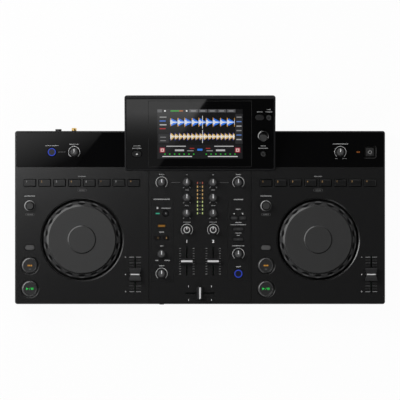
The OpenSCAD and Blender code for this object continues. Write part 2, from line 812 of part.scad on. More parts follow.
module bottom_case() color(matte_black) difference() {
    union() {
        lower_tub();
        socket_shelf(xlr_x[0] - xlr_flange.x / 2, xlr_x[1] + xlr_flange.x / 2);
        socket_shelf(inlet_x - inlet_flange.x / 2, inlet_x + inlet_flange.x / 2);
        parting_lip(-seam / 2);
        for (p = screw_points) at_place(p, foot_height + bottom_bevel)
            cylinder(r = post_radius_outer, h = post_join_z - foot_height - bottom_bevel);
        for (p = screw_points) at_place(p, foot_height + wall / 2)
            cylinder(r = post_radius_outer, h = bottom_bevel + wall);
    }
    for (p = screw_points) at_place(p, foot_height - cut) {
        cylinder(r = screw_head_radius + 0.6, h = post_join_z - foot_height - wall + cut);
        cylinder(r = screw_radius + 0.2, h = post_join_z);
    }
    for (p = foot_places) at_place(p, foot_height - cut)
        cylinder(r = foot_radius + seam, h = foot_recess + cut);
    socket_windows();
}

// Openings that go through the deck plate
module deck_openings() {
    for (s = sides) at_place([s * deck_x, jog_front], deck_z) {
        translate([0, 0, -well_depth]) cylinder(r = well_radius, h = well_depth + cut);
        bevel_cut(well_radius, well_bevel);
        translate([0, 0, -well_depth - hub_length - wall - cut])
            cylinder(r = bush_radius, h = hub_length + wall + 2 * cut);
    }
    for (p = hot_key_places) at_place(p, deck_z)
        key_hole(hot_key_width, hot_key_depth, key_corner, deck_thickness);
    for (p = shift_places) at_place(p, deck_z)
        key_hole(shift_width, shift_depth, shift_depth / 2 - 0.01, deck_thickness);
    for (p = round_places) at_place(p, deck_z) round_hole(round_radius, deck_thickness, round_bevel);
    for (p = tempo_places) at_place(p, deck_z) fader_slot(tempo_travel, deck_thickness);
    for (p = concat(deck_knob_places, strip_knob_places)) at_place(p, plate_z - cut)
        cylinder(r = key_hole_shaft, h = deck_thickness + 2 * cut);
    at_place(mic_button_place, ledge_z - cut)
        cylinder(r = ring_radius + key_gap, h = inlay_thickness + 2 * cut);
    at_place(mic_button_place, plate_z - cut) cylinder(r = ring_radius + key_gap, h = deck_thickness);
    at_place(power_place, plate_z - cut)
        plate(power_width + 2 * key_gap, power_width + 2 * key_gap, key_corner + key_gap, deck_thickness);
}

mixer_front = edge_radius + 0.6;
mixer_length = strip_front - mixer_front - 0.4;
mixer_ledge = 5;
gloss_width = body_width - 2 * edge_radius - 1.2;
gloss_depth = strip_depth - edge_radius - 0.6;
gloss_middle = strip_front + gloss_depth / 2;

module top_panel() color(matte_black) difference() {
    union() {
        difference() {
            translate([0, middle_y, 0])
                rounded_block(body_width, body_depth, corner_radius, split_z, deck_z, edge_radius);
            translate([0, middle_y, split_z - cut])
                plate(body_width - 2 * wall, body_depth - 2 * wall, corner_radius - wall + 1,
                      plate_z - split_z + cut);
            parting_lip(seam / 2);
        }
        for (s = sides) at_place([s * deck_x, jog_front], well_z - wall) {
            cylinder(r = well_radius + wall, h = well_depth);
            translate([0, 0, -hub_length + wall]) cylinder(r = hub_radius, h = hub_length);
        }
        for (p = screw_points) at_place(p, post_join_z)
            cylinder(r = boss_radius, h = plate_z - post_join_z + 1);
        for (p = board_posts) at_place(p, board_z) cylinder(r = post_radius, h = plate_z - board_z + 1);
    }
    for (p = screw_points) at_place(p, post_join_z - cut)
        cylinder(r = screw_radius + 0.1, h = screw_length + 3);
    deck_openings();
    at_place([0, mixer_front + mixer_length / 2], ledge_z)
        plate(mixer_width + 2 * seam, mixer_length + 2 * seam, 1 + seam, inlay_thickness + cut);
    at_place([0, mixer_front + mixer_length / 2], plate_z - cut)
        plate(mixer_width - 2 * mixer_ledge, mixer_length - 2 * mixer_ledge, 1, deck_thickness);
    at_place([0, gloss_middle], ledge_z)
        plate(gloss_width + 2 * seam, gloss_depth + 2 * seam, 2 + seam, inlay_thickness + cut);
}

// Openings in the mixer panel
module mixer_openings() {
    for (p = mixer_knob_places) at_place(p, ledge_z - cut)
        cylinder(r = key_hole_shaft, h = inlay_thickness + 2 * cut);
    for (p = fader_places) at_place(p, deck_z) fader_slot(fader_travel, inlay_thickness);
    at_place([0, crossfader_front], deck_z) rotate(90) fader_slot(fader_travel, inlay_thickness);
    at_place(pairing_place, deck_z) round_hole(pairing_radius, inlay_thickness, hole_bevel);
    at_place(effect_place, deck_z) round_hole(ring_radius, inlay_thickness, hole_bevel);
    at_place(master_cue_place, deck_z)
        key_hole(master_cue_width, master_cue_depth, key_corner, inlay_thickness);
    for (p = cue_key_places) at_place(p, deck_z)
        key_hole(pair_key_width, pair_key_depth, key_corner, inlay_thickness);
    for (p = beat_places) at_place(p, deck_z)
        key_hole(beat_width, beat_depth, beat_depth / 2 - 0.01, inlay_thickness);
    for (p = [select_place, assign_place]) at_place(p, deck_z)
        key_hole(select_width, select_depth, select_depth / 2 - 0.01, inlay_thickness);
    meter_lights(ledge_z - cut, deck_z + cut, light_gap);
}

// The meter's lights, from a lower to an upper level, grown sideways
module meter_lights(low, high, grow) for (s = sides) for (i = [0:meter_count - 1])
    at_place([s * meter_offset, meter_front + i * meter_pitch], low)
        translate([-light_width / 2 - grow, -light_depth / 2 - grow, 0])
            cube([light_width + 2 * grow, light_depth + 2 * grow, high - low]);

module mixer_panel() color(matte_black) difference() {
    at_place([0, mixer_front + mixer_length / 2], ledge_z)
        bevelled_plate(mixer_width, mixer_length, 1, inlay_thickness, 0.3);
    mixer_openings();
}

module gloss_panel() color(gloss_black) difference() {
    at_place([0, gloss_middle], ledge_z) bevelled_plate(gloss_width, gloss_depth, 2, inlay_thickness, 0.3);
    for (p = strip_knob_places) at_place(p, ledge_z - cut)
        cylinder(r = key_hole_shaft, h = inlay_thickness + 2 * cut);
    at_place(mic_button_place, deck_z) round_hole(ring_radius, inlay_thickness, hole_bevel);
    at_place(power_place, deck_z)
        key_hole(power_recess - 2 * key_gap, power_recess - 2 * key_gap, 3, inlay_thickness);
}

// Screen unit
pedestal_rear = body_depth - pedestal_inset;
rear_bottom_z = face_z(screen_depth) - rear_depth;
under_slope = (rear_bottom_z - deck_z) / (screen_rear - pedestal_rear);
under_wall = wall * sqrt(1 + under_slope * under_slope);
front_wall = 8;
cavity_top = (bezel_thickness + ledge_thickness) / cos(screen_tilt);

// A side profile in plan depth and height, drawn across the screen's width
module across(w) rotate([90, 0, 90]) translate([0, 0, -w / 2]) linear_extrude(w) children();

// The wedge that the screen unit is moulded as
module screen_wedge() {
    far = screen_depth - rear_bevel;
    depth = 60;
    skin = 0.02;
    intersection() {
        translate([0, front_y, 0]) across(screen_width + 2 * cut) polygon([
            [screen_front - cut, deck_z], [screen_front - cut, face_z(0) + cut],
            [screen_front + far - 2 * cut, face_z(far) + cut],
            [screen_rear + 2 * cut, face_z(far) - rear_bevel / 2 - cut],
            [screen_rear + 2 * cut, rear_bottom_z + 2 * cut * under_slope], [pedestal_rear, deck_z]
        ]);
        at_place([0, screen_front + screen_depth / 2], deck_z - cut)
            plate(screen_width, screen_depth, screen_corner, depth + screen_depth);
        on_screen([0, face_length / 2]) hull() {
            translate([0, 0, -skin])
                plate(screen_width - 2 * rim_bevel, face_length - rim_bevel,
                      screen_corner - rim_bevel / 2, skin);
            translate([0, 0, -rim_bevel])
                plate(screen_width + 2 * rim_bevel, face_length + rim_bevel,
                      screen_corner + rim_bevel / 2, skin);
            translate([0, 0, -depth])
                plate(screen_width + 2 * depth, face_length + 2 * depth, screen_corner, skin);
        }
    }
}

module screen_housing() color(matte_black) difference() {
    screen_wedge();
    translate([0, front_y, 0]) across(screen_width - 2 * wall) polygon([
        [screen_front + front_wall, deck_z - cut],
        [screen_front + front_wall, face_z(front_wall) - cavity_top],
        [screen_rear - wall, face_z(screen_depth - wall) - cavity_top],
        [screen_rear - wall, rear_bottom_z - wall * under_slope + under_wall],
        [pedestal_rear - (under_wall + cut) / under_slope, deck_z - cut]
    ]);
    on_screen([0, bezel_middle]) {
        translate([0, 0, -bezel_thickness])
            plate(bezel_width + 2 * seam, bezel_length + 2 * seam, screen_corner - rim + 1,
                  bezel_thickness + cut);
        translate([0, 0, -bezel_thickness - ledge_thickness - cut])
            plate(bezel_width - 2 * bezel_ledge, bezel_length - 2 * bezel_ledge, 1,
                  ledge_thickness + 2 * cut);
    }
}

// Controls of the screen unit
module screen_openings() {
    on_screen(settings_place)
        key_hole(settings_width, settings_depth, settings_depth / 2 - 0.01, bezel_thickness);
    on_screen(back_place) key_hole(back_width, back_depth, back_depth / 2 - 0.01, bezel_thickness);
    for (p = [tag_place, menu_place]) on_screen(p)
        round_hole(screen_round_radius, bezel_thickness, hole_bevel);
    on_screen(browse_place) translate([0, 0, -bezel_thickness - cut])
        cylinder(r = key_hole_shaft, h = bezel_thickness + 2 * cut);
}

screen_post_rows = [browse_row - screen_post_span, browse_row + screen_post_span];

module screen_bezel() color(gloss_black) difference() {
    union() {
        on_screen([0, bezel_middle]) translate([0, 0, -bezel_thickness])
            bevelled_plate(bezel_width, bezel_length, screen_corner - rim + 1 - seam, bezel_thickness, 0.3);
        for (s = sides) for (row = screen_post_rows)
            on_screen([s * screen_post_offset, row]) translate([0, 0, -screen_board_drop])
                cylinder(r = post_radius - 0.5, h = screen_board_drop - bezel_thickness / 2);
    }
    on_screen([0, bezel_middle]) {
        translate([0, 0, -glass_thickness])
            plate(glass_width + 2 * seam, glass_length + 2 * seam, 2 + seam, glass_thickness + cut);
        translate([0, 0, -bezel_thickness - cut])
            plate(glass_width - 2 * display_margin, glass_length - 2 * display_margin, 1,
                  bezel_thickness + cut);
    }
    screen_openings();
}

module touch_screen() color(gloss_black) on_screen([0, bezel_middle]) {
    translate([0, 0, -glass_thickness]) plate(glass_width, glass_length, 2, glass_thickness);
    translate([0, 0, -glass_thickness - display_thickness])
        plate(glass_width - 2 * display_margin - 2 * seam, glass_length - 2 * display_margin - 2 * seam, 1,
              display_thickness);
}

// Boards under the controls
module main_board() difference() {
    at_place([0, body_depth / 2], board_z - board_thickness)
        plate(body_width - 2 * board_margin, body_depth - 2 * board_margin, 2, board_thickness);
    for (s = sides) at_place([s * deck_x, jog_front], board_z - board_thickness - cut)
        cylinder(r = hub_radius + 3, h = board_thickness + 2 * cut);
    for (p = screw_points) at_place(p, board_z - board_thickness - cut)
        cylinder(r = boss_radius + 1.5, h = board_thickness + 2 * cut);
}

// Board for the keys on one side of the screen, from the lower keys to a place up the slope
module screen_board(side, high) {
    low = screen_low_row - screen_board_end;
    on_screen([side * (screen_board_inner + screen_board_outer) / 2, (low + high) / 2])
        translate([0, 0, -screen_board_drop - board_thickness])
            plate(screen_board_outer - screen_board_inner, high - low, 1, board_thickness);
}

module control_boards() color(board_green) {
    main_board();
    for (p = switch_places) at_place(p, board_z) push_switch();
    for (p = concat(deck_knob_places, mixer_knob_places, strip_knob_places))
        at_place(p, board_z) shaft_bearing();
    for (p = tempo_places) at_place(p, board_z) fader_rail(tempo_travel);
    for (p = fader_places) at_place(p, board_z) fader_rail(fader_travel);
    at_place([0, crossfader_front], board_z) rotate(90) fader_rail(fader_travel);
    meter_lights(board_z, deck_z - light_gap, 0);
    screen_board(-1, browse_row + screen_post_span + screen_board_end);
    screen_board(1, screen_high_row + screen_board_end);
    for (p = [settings_place, menu_place, back_place, tag_place])
        on_screen(p) translate([0, 0, -screen_board_drop]) push_switch();
    on_screen(browse_place) translate([0, 0, -screen_board_drop]) screen_bearing();
}

// Encoder under the browse knob, lower than those on the main board
module screen_bearing() difference() {
    cylinder(r = pot_width / 2, h = pot_height);
    translate([0, 0, shaft_clear - 0.5]) cylinder(r = shaft_radius + run_gap, h = pot_height);
}

module jog_bushes() color("#d8d3c4") for (s = sides) at_place([s * deck_x, jog_front], well_z)
    rotate_extrude() polygon([
        [jog_shaft_radius + run_gap / 2, bush_flange], [jog_shaft_radius + run_gap / 2, -hub_length],
        [bush_radius, -hub_length], [bush_radius, 0], [hub_radius, 0], [hub_radius, bush_flange]
    ]);

// Jack socket with its mouth towards -y: a block behind the wall, a collar through it and a nut outside
module jack(nut_radius, proud) {
    block_depth = jack_depth + 3 - proud;
    difference() {
        union() {
            translate([-jack_block / 2, 0, -jack_block / 2]) cube([jack_block, block_depth, jack_block]);
            translate([-jack_block / 2 - 2, wall, -jack_block / 2 - 2])
                cube([jack_block + 4, block_depth - wall, jack_block + 4]);
            translate([0, 0.5, 0]) rotate([90, 0, 0]) cylinder(r = nut_radius, h = proud + 0.5);
        }
        translate([0, jack_depth - proud, 0]) rotate([90, 0, 0])
            cylinder(r = jack_radius, h = jack_depth + cut);
    }
}

// Two phono sockets one above the other, mouths towards -y
module phono_pair() {
    barrel = phono_proud + phono_recess;
    body = 18;
    translate([-phono_block / 2, phono_recess, -(phono_pitch + phono_block) / 2])
        cube([phono_block, body - phono_recess, phono_pitch + phono_block]);
    for (s = sides) translate([0, phono_recess, s * phono_pitch / 2]) rotate([90, 0, 0]) difference() {
        translate([0, 0, -1]) cylinder(r = phono_radius, h = barrel + 1);
        translate([0, 0, 0.5]) cylinder(r = phono_radius - 1, h = barrel);
    }
}

// Three-pin output socket, mouth towards -y
module xlr_socket() rotate([90, 0, 0]) {
    difference() {
        union() {
            translate([0, 0, -xlr_depth - 4]) cylinder(r = xlr_radius + xlr_wall, h = xlr_depth + 4);
            plate(xlr_flange.x, xlr_flange.y, 2, xlr_flange.z);
        }
        translate([0, 0, -xlr_depth]) cylinder(r = xlr_radius, h = xlr_depth + xlr_flange.z + cut);
    }
    for (a = [180, 270, 360]) rotate(a) translate([xlr_pin_circle, 0, -xlr_depth - 1])
        cylinder(r = xlr_pin_radius, h = xlr_depth - 1);
}

// Mains inlet with three blades, mouth towards -y
module mains_inlet() rotate([90, 0, 0]) {
    blade = [2, 4];
    difference() {
        union() {
            translate([0, 0, -inlet_depth - 3])
                plate(inlet_size.x + 2 * wall, inlet_size.y + 2 * wall, 2, inlet_depth + 3);
            plate(inlet_flange.x, inlet_flange.y, 2, inlet_flange.z);
        }
        translate([0, 0, -inlet_depth])
            plate(inlet_size.x, inlet_size.y, 3, inlet_depth + inlet_flange.z + cut);
    }
    for (p = [[-7, 1.5], [0, 5], [7, 1.5]])
        translate([p.x - blade.x / 2, p.y - blade.y / 2, -inlet_depth - 1])
            cube([blade.x, blade.y, inlet_depth - 2]);
}

// A shielded data socket with a tongue, mouth towards -y
module usb_socket(size, tongue, rise) rotate([90, 0, 0]) {
    difference() {
        translate([0, 0, -usb_depth - 2])
            plate(size.x + 2 * usb_wall, size.y + 2 * usb_wall, 0.8, usb_depth + 2);
        translate([0, 0, -usb_depth]) plate(size.x, size.y, 0.4, usb_depth + cut);
    }
    translate([-tongue.x / 2, rise - tongue.y / 2, -usb_depth - 1]) cube([tongue.x, tongue.y, usb_depth]);
}

module sockets() color("#2a2a2c") {
    translate([headphone_x, front_y, socket_z]) jack(4, jack_proud);
    translate([mic_jack_x, rear_y, socket_z]) rotate(180) jack(jack_nut_radius, mic_jack_proud);
    translate([phono_x, rear_y, socket_z]) rotate(180) phono_pair();
    for (x = xlr_x) translate([x, rear_y, socket_z]) rotate(180) xlr_socket();
    translate([inlet_x, rear_y, socket_z]) rotate(180) mains_inlet();
    translate([usb_b_x, rear_y, socket_z]) rotate(180) usb_socket(usb_b_size, usb_b_tongue, 0);
    translate([usb_a_x, rear_y, socket_z]) rotate(180)
        usb_socket(usb_a_size, usb_a_tongue, usb_a_tongue_rise);
}

module rubber_feet() color(rubber_black) for (p = foot_places) at_place(p, 0) rotate_extrude() polygon([
    [0, 0], [foot_radius - 2, 0], [foot_radius - 1, 1], [foot_radius, foot_height],
    [foot_radius, foot_height + foot_recess], [0, foot_height + foot_recess]
]);

module case_screws() color(steel) for (p = screw_points)
    at_place(p, post_join_z - wall - screw_head_height) {
        cylinder(r = screw_head_radius, h = screw_head_height);
        cylinder(r = screw_radius, h = screw_head_height + screw_length);
    }

// Decks
module jog_wheel(side) {
    skin = 3.5;
    flank = [jog_radius - 0.6, 0.8];
    flank_top = [jog_top_radius, jog_rise];
    shoulder = flank_top + [jog_bevel, -jog_bevel_fall];
    disc_top = jog_rise + jog_disc_rise;
    along = shoulder - flank;
    out = [along.y, -along.x] / norm(along);
    mid = (flank + shoulder) / 2;
    dimple = mid + out * (dimple_radius - dimple_depth);
    hub_bottom = -well_depth + bush_flange + run_gap;
    shaft_end = -well_depth - hub_length - clip_gap - 2.5;
    clip_top = -well_depth - hub_length - clip_gap;
    at_place([side * deck_x, jog_front], deck_z) {
        difference() {
            rotate_extrude() polygon([
                [0, disc_top], [jog_disc_radius - jog_disc_bevel, disc_top], [jog_disc_radius, jog_rise],
                flank_top, shoulder, flank, [jog_radius, 0], [jog_radius, -3], [jog_radius - skin, -3],
                [jog_radius - skin, 0], [jog_top_radius - 2, jog_rise - skin],
                [hub_radius + 3, jog_rise - skin], [hub_radius, hub_bottom], [0, hub_bottom]
            ]);
            for (i = [0:dimple_count - 1]) rotate(90 + i * 360 / dimple_count)
                translate([dimple.x, 0, dimple.y]) sphere(r = dimple_radius);
        }
        translate([0, 0, shaft_end]) cylinder(r = jog_shaft_radius, h = hub_bottom - shaft_end + 1);
        translate([0, 0, clip_top - 1]) cylinder(r = clip_radius, h = 1);
    }
}

module tempo_slider(side) at_place([side * deck_x + tempo_offset, tempo_front], deck_z) {
    waisted_cap(tempo_cap_width, tempo_cap_length, fader_cap_height);
    fader_blade(board_drop);
}

module loop_knob(side) at_place([side * deck_x - column_offset, loop_front], deck_z)
    turning_knob(loop_radius, knob_height - 1, board_drop);

// The eight keys stand on one silicone mat under the deck plate
module hot_cue_keys(side) at_place([side * deck_x, hot_key_front], deck_z) {
    mat_top = -deck_thickness - flange_gap;
    translate([0, 0, mat_top - flange_thickness])
        plate((hot_key_count - 1) * hot_key_pitch + hot_key_width + 2 * flange_lip,
              hot_key_depth + 2 * flange_lip, key_corner, flange_thickness);
    for (x = hot_key_x) translate([x, 0, 0]) {
        translate([0, 0, mat_top - 0.2])
            bevelled_plate(hot_key_width, hot_key_depth, key_corner, key_rise - mat_top + 0.2, key_bevel);
        key_stem(deck_thickness, board_drop);
    }
}

module shift_key(side) at_place([side * deck_x - column_offset, shift_front], deck_z)
    key(shift_width, shift_depth, shift_depth / 2 - 0.01, key_rise, deck_thickness, board_drop);

module deck_button(side, front) at_place([side * deck_x - column_offset, front], deck_z)
    round_key(round_radius, round_rise, 0.5, deck_thickness, board_drop);

module left_jog_wheel() color(key_black) jog_wheel(-1);
module right_jog_wheel() color(key_black) jog_wheel(1);
module left_tempo_slider() color(key_black) tempo_slider(-1);
module right_tempo_slider() color(key_black) tempo_slider(1);
module left_loop_knob() color(key_black) loop_knob(-1);
module right_loop_knob() color(key_black) loop_knob(1);
module left_hot_cue_keys() color(key_black) hot_cue_keys(-1);
module right_hot_cue_keys() color(key_black) hot_cue_keys(1);
module left_shift_key() color(key_black) shift_key(-1);
module right_shift_key() color(key_black) shift_key(1);
module left_cue_button() color(key_black) deck_button(-1, cue_front);
module right_cue_button() color(key_black) deck_button(1, cue_front);
module left_play_button() color(key_black) deck_button(-1, play_front);
module right_play_button() color(key_black) deck_button(1, play_front);

// Mixer
module mixer_knob(place, r) at_place(place, deck_z) knob(r, knob_height, board_drop);

module channel_fader(side) at_place([side * channel_offset, fader_front], deck_z) {
    fader_cap(fader_cap_width, fader_cap_length, fader_cap_height);
    fader_blade(board_drop);
}

module mixer_key(place, w, d, r) at_place(place, deck_z) key(w, d, r, key_rise, inlay_thickness, board_drop);

module trim_knob_1() color(key_black) mixer_knob([-side_offset, high_front], level_knob_radius);
module trim_knob_2() color(key_black) mixer_knob([side_offset, high_front], level_knob_radius);
module high_knob_1() color(key_black) mixer_knob([-channel_offset, high_front], channel_knob_radius);
module high_knob_2() color(key_black) mixer_knob([channel_offset, high_front], channel_knob_radius);
module mid_knob_1() color(key_black) mixer_knob([-channel_offset, mid_front], channel_knob_radius);
module mid_knob_2() color(key_black) mixer_knob([channel_offset, mid_front], channel_knob_radius);
module low_knob_1() color(key_black) mixer_knob([-channel_offset, low_front], channel_knob_radius);
module low_knob_2() color(key_black) mixer_knob([channel_offset, low_front], channel_knob_radius);
module colour_knob_1() color(key_black) mixer_knob([-channel_offset, colour_front], channel_knob_radius);
module colour_knob_2() color(key_black) mixer_knob([channel_offset, colour_front], channel_knob_radius);
module channel_fader_1() color(key_black) channel_fader(-1);
module channel_fader_2() color(key_black) channel_fader(1);

module crossfader() color(key_black) at_place([0, crossfader_front], deck_z) rotate(90) {
    fader_cap(fader_cap_width, fader_cap_length, fader_cap_height);
    fader_blade(board_drop);
}

module headphone_mix_knob() color(key_black) mixer_knob([-side_offset, upper_knob_front], level_knob_radius);
module headphone_level_knob() color(key_black)
    mixer_knob([-side_offset, lower_knob_front], level_knob_radius);
module effect_level_knob() color(key_black) mixer_knob([side_offset, upper_knob_front], level_knob_radius);
module pairing_button() color(key_black) at_place(pairing_place, deck_z)
    round_key(pairing_radius, 0.5, 0.3, inlay_thickness, board_drop);
module effect_button() color(key_black) at_place(effect_place, deck_z)
    round_key(ring_radius, key_rise, 0.4, inlay_thickness, board_drop);
module master_cue_key() color(key_black)
    mixer_key(master_cue_place, master_cue_width, master_cue_depth, key_corner);
module cue_key_1() color(key_black) mixer_key(cue_key_places[0], pair_key_width, pair_key_depth, key_corner);
module cue_key_2() color(key_black) mixer_key(cue_key_places[1], pair_key_width, pair_key_depth, key_corner);
module beat_left_key() color(key_black)
    mixer_key(beat_places[0], beat_width, beat_depth, beat_depth / 2 - 0.01);
module beat_right_key() color(key_black)
    mixer_key(beat_places[1], beat_width, beat_depth, beat_depth / 2 - 0.01);
module effect_select_key() color(key_black)
    mixer_key(select_place, select_width, select_depth, select_depth / 2 - 0.01);
module effect_assign_key() color(key_black)
    mixer_key(assign_place, select_width, select_depth, select_depth / 2 - 0.01);

// Screen controls
module screen_key(place, w, d) on_screen(place)
    key(w, d, d / 2 - 0.01, key_rise, bezel_thickness, screen_board_drop);
module settings_key() color(key_black) screen_key(settings_place, settings_width, settings_depth);
module back_key() color(key_black) screen_key(back_place, back_width, back_depth);
module tag_key() color(key_black) on_screen(tag_place)
    round_key(screen_round_radius, key_rise, 0.3, bezel_thickness, screen_board_drop);
module menu_key() color(key_black) on_screen(menu_place)
    round_key(screen_round_radius, key_rise, 0.3, bezel_thickness, screen_board_drop);
module browse_knob() color(key_black) on_screen(browse_place)
    turning_knob(browse_radius, knob_height - 1, screen_board_drop);

// Rear strip
module mic_button() color(key_black) at_place(mic_button_place, deck_z)
    round_key(ring_radius, key_rise, 0.4, deck_thickness, board_drop);
module mic_level_knob() color(key_black) mixer_knob(strip_knob_places[0], level_knob_radius);
module master_level_knob() color(key_black) mixer_knob(strip_knob_places[1], level_knob_radius);
module power_button() color(key_black) at_place(power_place, deck_z)
    key(power_width, power_width, key_corner, power_rise, deck_thickness, board_drop);

bottom_case();
top_panel();
mixer_panel();
gloss_panel();
screen_housing();
screen_bezel();
touch_screen();
control_boards();
jog_bushes();
sockets();
rubber_feet();
case_screws();
left_jog_wheel();
left_tempo_slider();
left_loop_knob();
left_hot_cue_keys();
left_shift_key();
left_cue_button();
left_play_button();
right_jog_wheel();
right_tempo_slider();
right_loop_knob();
right_hot_cue_keys();
right_shift_key();
right_cue_button();
right_play_button();
trim_knob_1();
high_knob_1();
mid_knob_1();
low_knob_1();
colour_knob_1();
channel_fader_1();
trim_knob_2();
high_knob_2();
mid_knob_2();
low_knob_2();
colour_knob_2();
channel_fader_2();
crossfader();
headphone_mix_knob();
headphone_level_knob();
pairing_button();
master_cue_key();
cue_key_1();
cue_key_2();
beat_left_key();
beat_right_key();
effect_select_key();
effect_assign_key();
effect_level_knob();
effect_button();
settings_key();
back_key();
tag_key();
browse_knob();
menu_key();
mic_button();
mic_level_knob();
master_level_knob();
power_button();
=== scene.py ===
import math
import random
from collections import namedtuple

import bpy
from bpy.props import FloatProperty, FloatVectorProperty, IntProperty, PointerProperty
from mathutils import Matrix, Vector


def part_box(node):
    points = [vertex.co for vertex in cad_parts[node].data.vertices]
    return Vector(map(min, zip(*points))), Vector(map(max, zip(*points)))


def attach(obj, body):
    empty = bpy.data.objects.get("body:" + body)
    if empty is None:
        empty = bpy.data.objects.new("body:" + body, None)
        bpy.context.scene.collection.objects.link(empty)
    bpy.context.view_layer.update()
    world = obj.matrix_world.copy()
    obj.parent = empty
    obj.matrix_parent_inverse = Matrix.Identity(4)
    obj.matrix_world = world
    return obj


bl_info = {
    "name": "All-in-one DJ system",
    "version": (1, 0, 0),
    "blender": (4, 5, 0),
    "location": "View3D > Sidebar > DJ system",
    "description": "Finishes, printing, lights and display for the packed model of an all-in-one DJ system",
    "category": "Object",
}

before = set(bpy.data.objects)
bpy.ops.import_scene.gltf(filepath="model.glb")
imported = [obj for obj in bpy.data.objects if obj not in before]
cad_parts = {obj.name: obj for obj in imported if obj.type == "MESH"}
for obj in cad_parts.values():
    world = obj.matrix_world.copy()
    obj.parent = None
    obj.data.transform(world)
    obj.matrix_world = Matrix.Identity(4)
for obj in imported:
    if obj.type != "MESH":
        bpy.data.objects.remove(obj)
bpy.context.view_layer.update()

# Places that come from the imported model, in metres

MM = 0.001
CHASSIS = "chassis"
DECK_SIDES = ("left", "right")
CHANNELS = ("1", "2")
BOTH_WAYS = (-1, 1)
DECK_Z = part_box("mixer_panel")[1].z
REAR_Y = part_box("bottom_case")[1].y
SCREEN_TILT = math.radians(22)
SCREEN_LIP = 4 * MM

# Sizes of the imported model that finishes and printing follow, in millimetres

WELL_RADIUS = 71.5
WELL_BEVEL = 2.2
ROUND_RADIUS = 13.4
MOUTH_RADIUS = 15.3
HOT_KEYS_IN_ROW = 8
HOT_KEY_PITCH = 26.1
HOT_KEY_SIZE = (19.7, 11.2)
KEY_GAP = 0.5
POWER_RECESS = 21
METER_LIGHTS = 9
METER_PITCH = 6.65
SOCKET_Z = 28
OUTPUTS_X = (-119, -84)
DATA_SOCKETS_X = (-14, 20)
INLET_X = 90
PHONO_X = -221.7
PICTURE_WIDTH = 149.3
PICTURE_HEIGHT = 92.9
PICTURE_LOW = 22.3

# A plane is a matrix: its own X and Y lie along the surface, and its Z points out of the object

DECK = Matrix.Translation((0, 0, DECK_Z))
SCREEN_FOOT = Matrix.Translation((0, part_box("screen_housing")[0].y, DECK_Z + SCREEN_LIP))
SCREEN = SCREEN_FOOT @ Matrix.Rotation(SCREEN_TILT, 4, "X")
REAR = Matrix.Translation((0, REAR_Y, 0)) @ Matrix.Rotation(-math.pi / 2, 4, "X")

Place = namedtuple("Place", "x y z")
Mount = namedtuple("Mount", "plane body slot")
Mark = namedtuple("Mark", "x y z size turn tint")

ON_DECK = Mount(DECK, CHASSIS, "deck")
ON_STRIP = Mount(DECK, CHASSIS, "gloss")
ON_SCREEN = Mount(SCREEN, CHASSIS, "gloss")


def middle(plane, node):
    """Middle of a node's outline on a plane, with its highest point above the plane as Z, in metres."""
    flat = plane.inverted()
    points = [flat @ corner.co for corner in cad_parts[node].data.vertices]
    low = [min(p[axis] for p in points) for axis in range(3)]
    high = [max(p[axis] for p in points) for axis in range(3)]
    return Vector(((low[0] + high[0]) / 2, (low[1] + high[1]) / 2, high[2]))


def place(node, plane=DECK):
    """The same middle in millimetres, in which all marks are drawn."""
    return Place(*(part / MM for part in middle(plane, node)))


def extent(node):
    """Size of a node's box in millimetres."""
    low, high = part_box(node)
    return Place(*(part / MM for part in high - low))


def raised(plane, height):
    """The plane moved out along its own Z, in millimetres."""
    return plane @ Matrix.Translation((0, 0, height * MM))


# Names of the controls that are alike

TRIM_KNOBS = ("trim_knob_1", "trim_knob_2")
SIDE_KNOBS = ("headphone_level_knob", "effect_level_knob", "mic_level_knob", "master_level_knob")
LEVEL_KNOBS = TRIM_KNOBS + SIDE_KNOBS
COLOUR_KNOBS = ("colour_knob_1", "colour_knob_2")
EQ_KNOBS = tuple(f"{band}_knob_{n}" for n in CHANNELS for band in ("high", "mid", "low"))
PLAIN_KNOBS = EQ_KNOBS + ("headphone_mix_knob",)
TURNING_KNOBS = ("left_loop_knob", "right_loop_knob", "browse_knob")
FADERS = ("channel_fader_1", "channel_fader_2", "crossfader")
TEMPO_SLIDERS = ("left_tempo_slider", "right_tempo_slider")
SHIFT_KEYS = ("left_shift_key", "right_shift_key")
ROUND_BUTTONS = tuple(f"{side}_{kind}_button" for side in DECK_SIDES for kind in ("cue", "play"))
HOT_KEYS = ("left_hot_cue_keys", "right_hot_cue_keys")
HOT_KEY_STEPS = tuple((i - (HOT_KEYS_IN_ROW - 1) / 2) * HOT_KEY_PITCH for i in range(HOT_KEYS_IN_ROW))
RING_BUTTONS = ("mic_button", "effect_button", "pairing_button")
SMALL_KEYS = ("beat_left_key", "beat_right_key", "effect_select_key", "effect_assign_key", "power_button")
SCREEN_KEYS = ("settings_key", "back_key", "tag_key", "menu_key")
WINDOW_KEYS = ("master_cue_key", "cue_key_1", "cue_key_2")


# Settings that a user may change


def colour(name, description, tone):
    return FloatVectorProperty(
        name=name, description=description, default=tone, subtype="COLOR", min=0, max=1,
    )


def dark(name, description, tone, blue=0.0):
    """A grey, with a little blue added."""
    return colour(name, description, (tone, tone, tone + blue))


def length(name, description, default_mm):
    return FloatProperty(name=name, description=description, default=default_mm * MM, unit="LENGTH", min=0)


def power(name, description, default):
    return FloatProperty(name=name, description=description, default=default, unit="POWER")


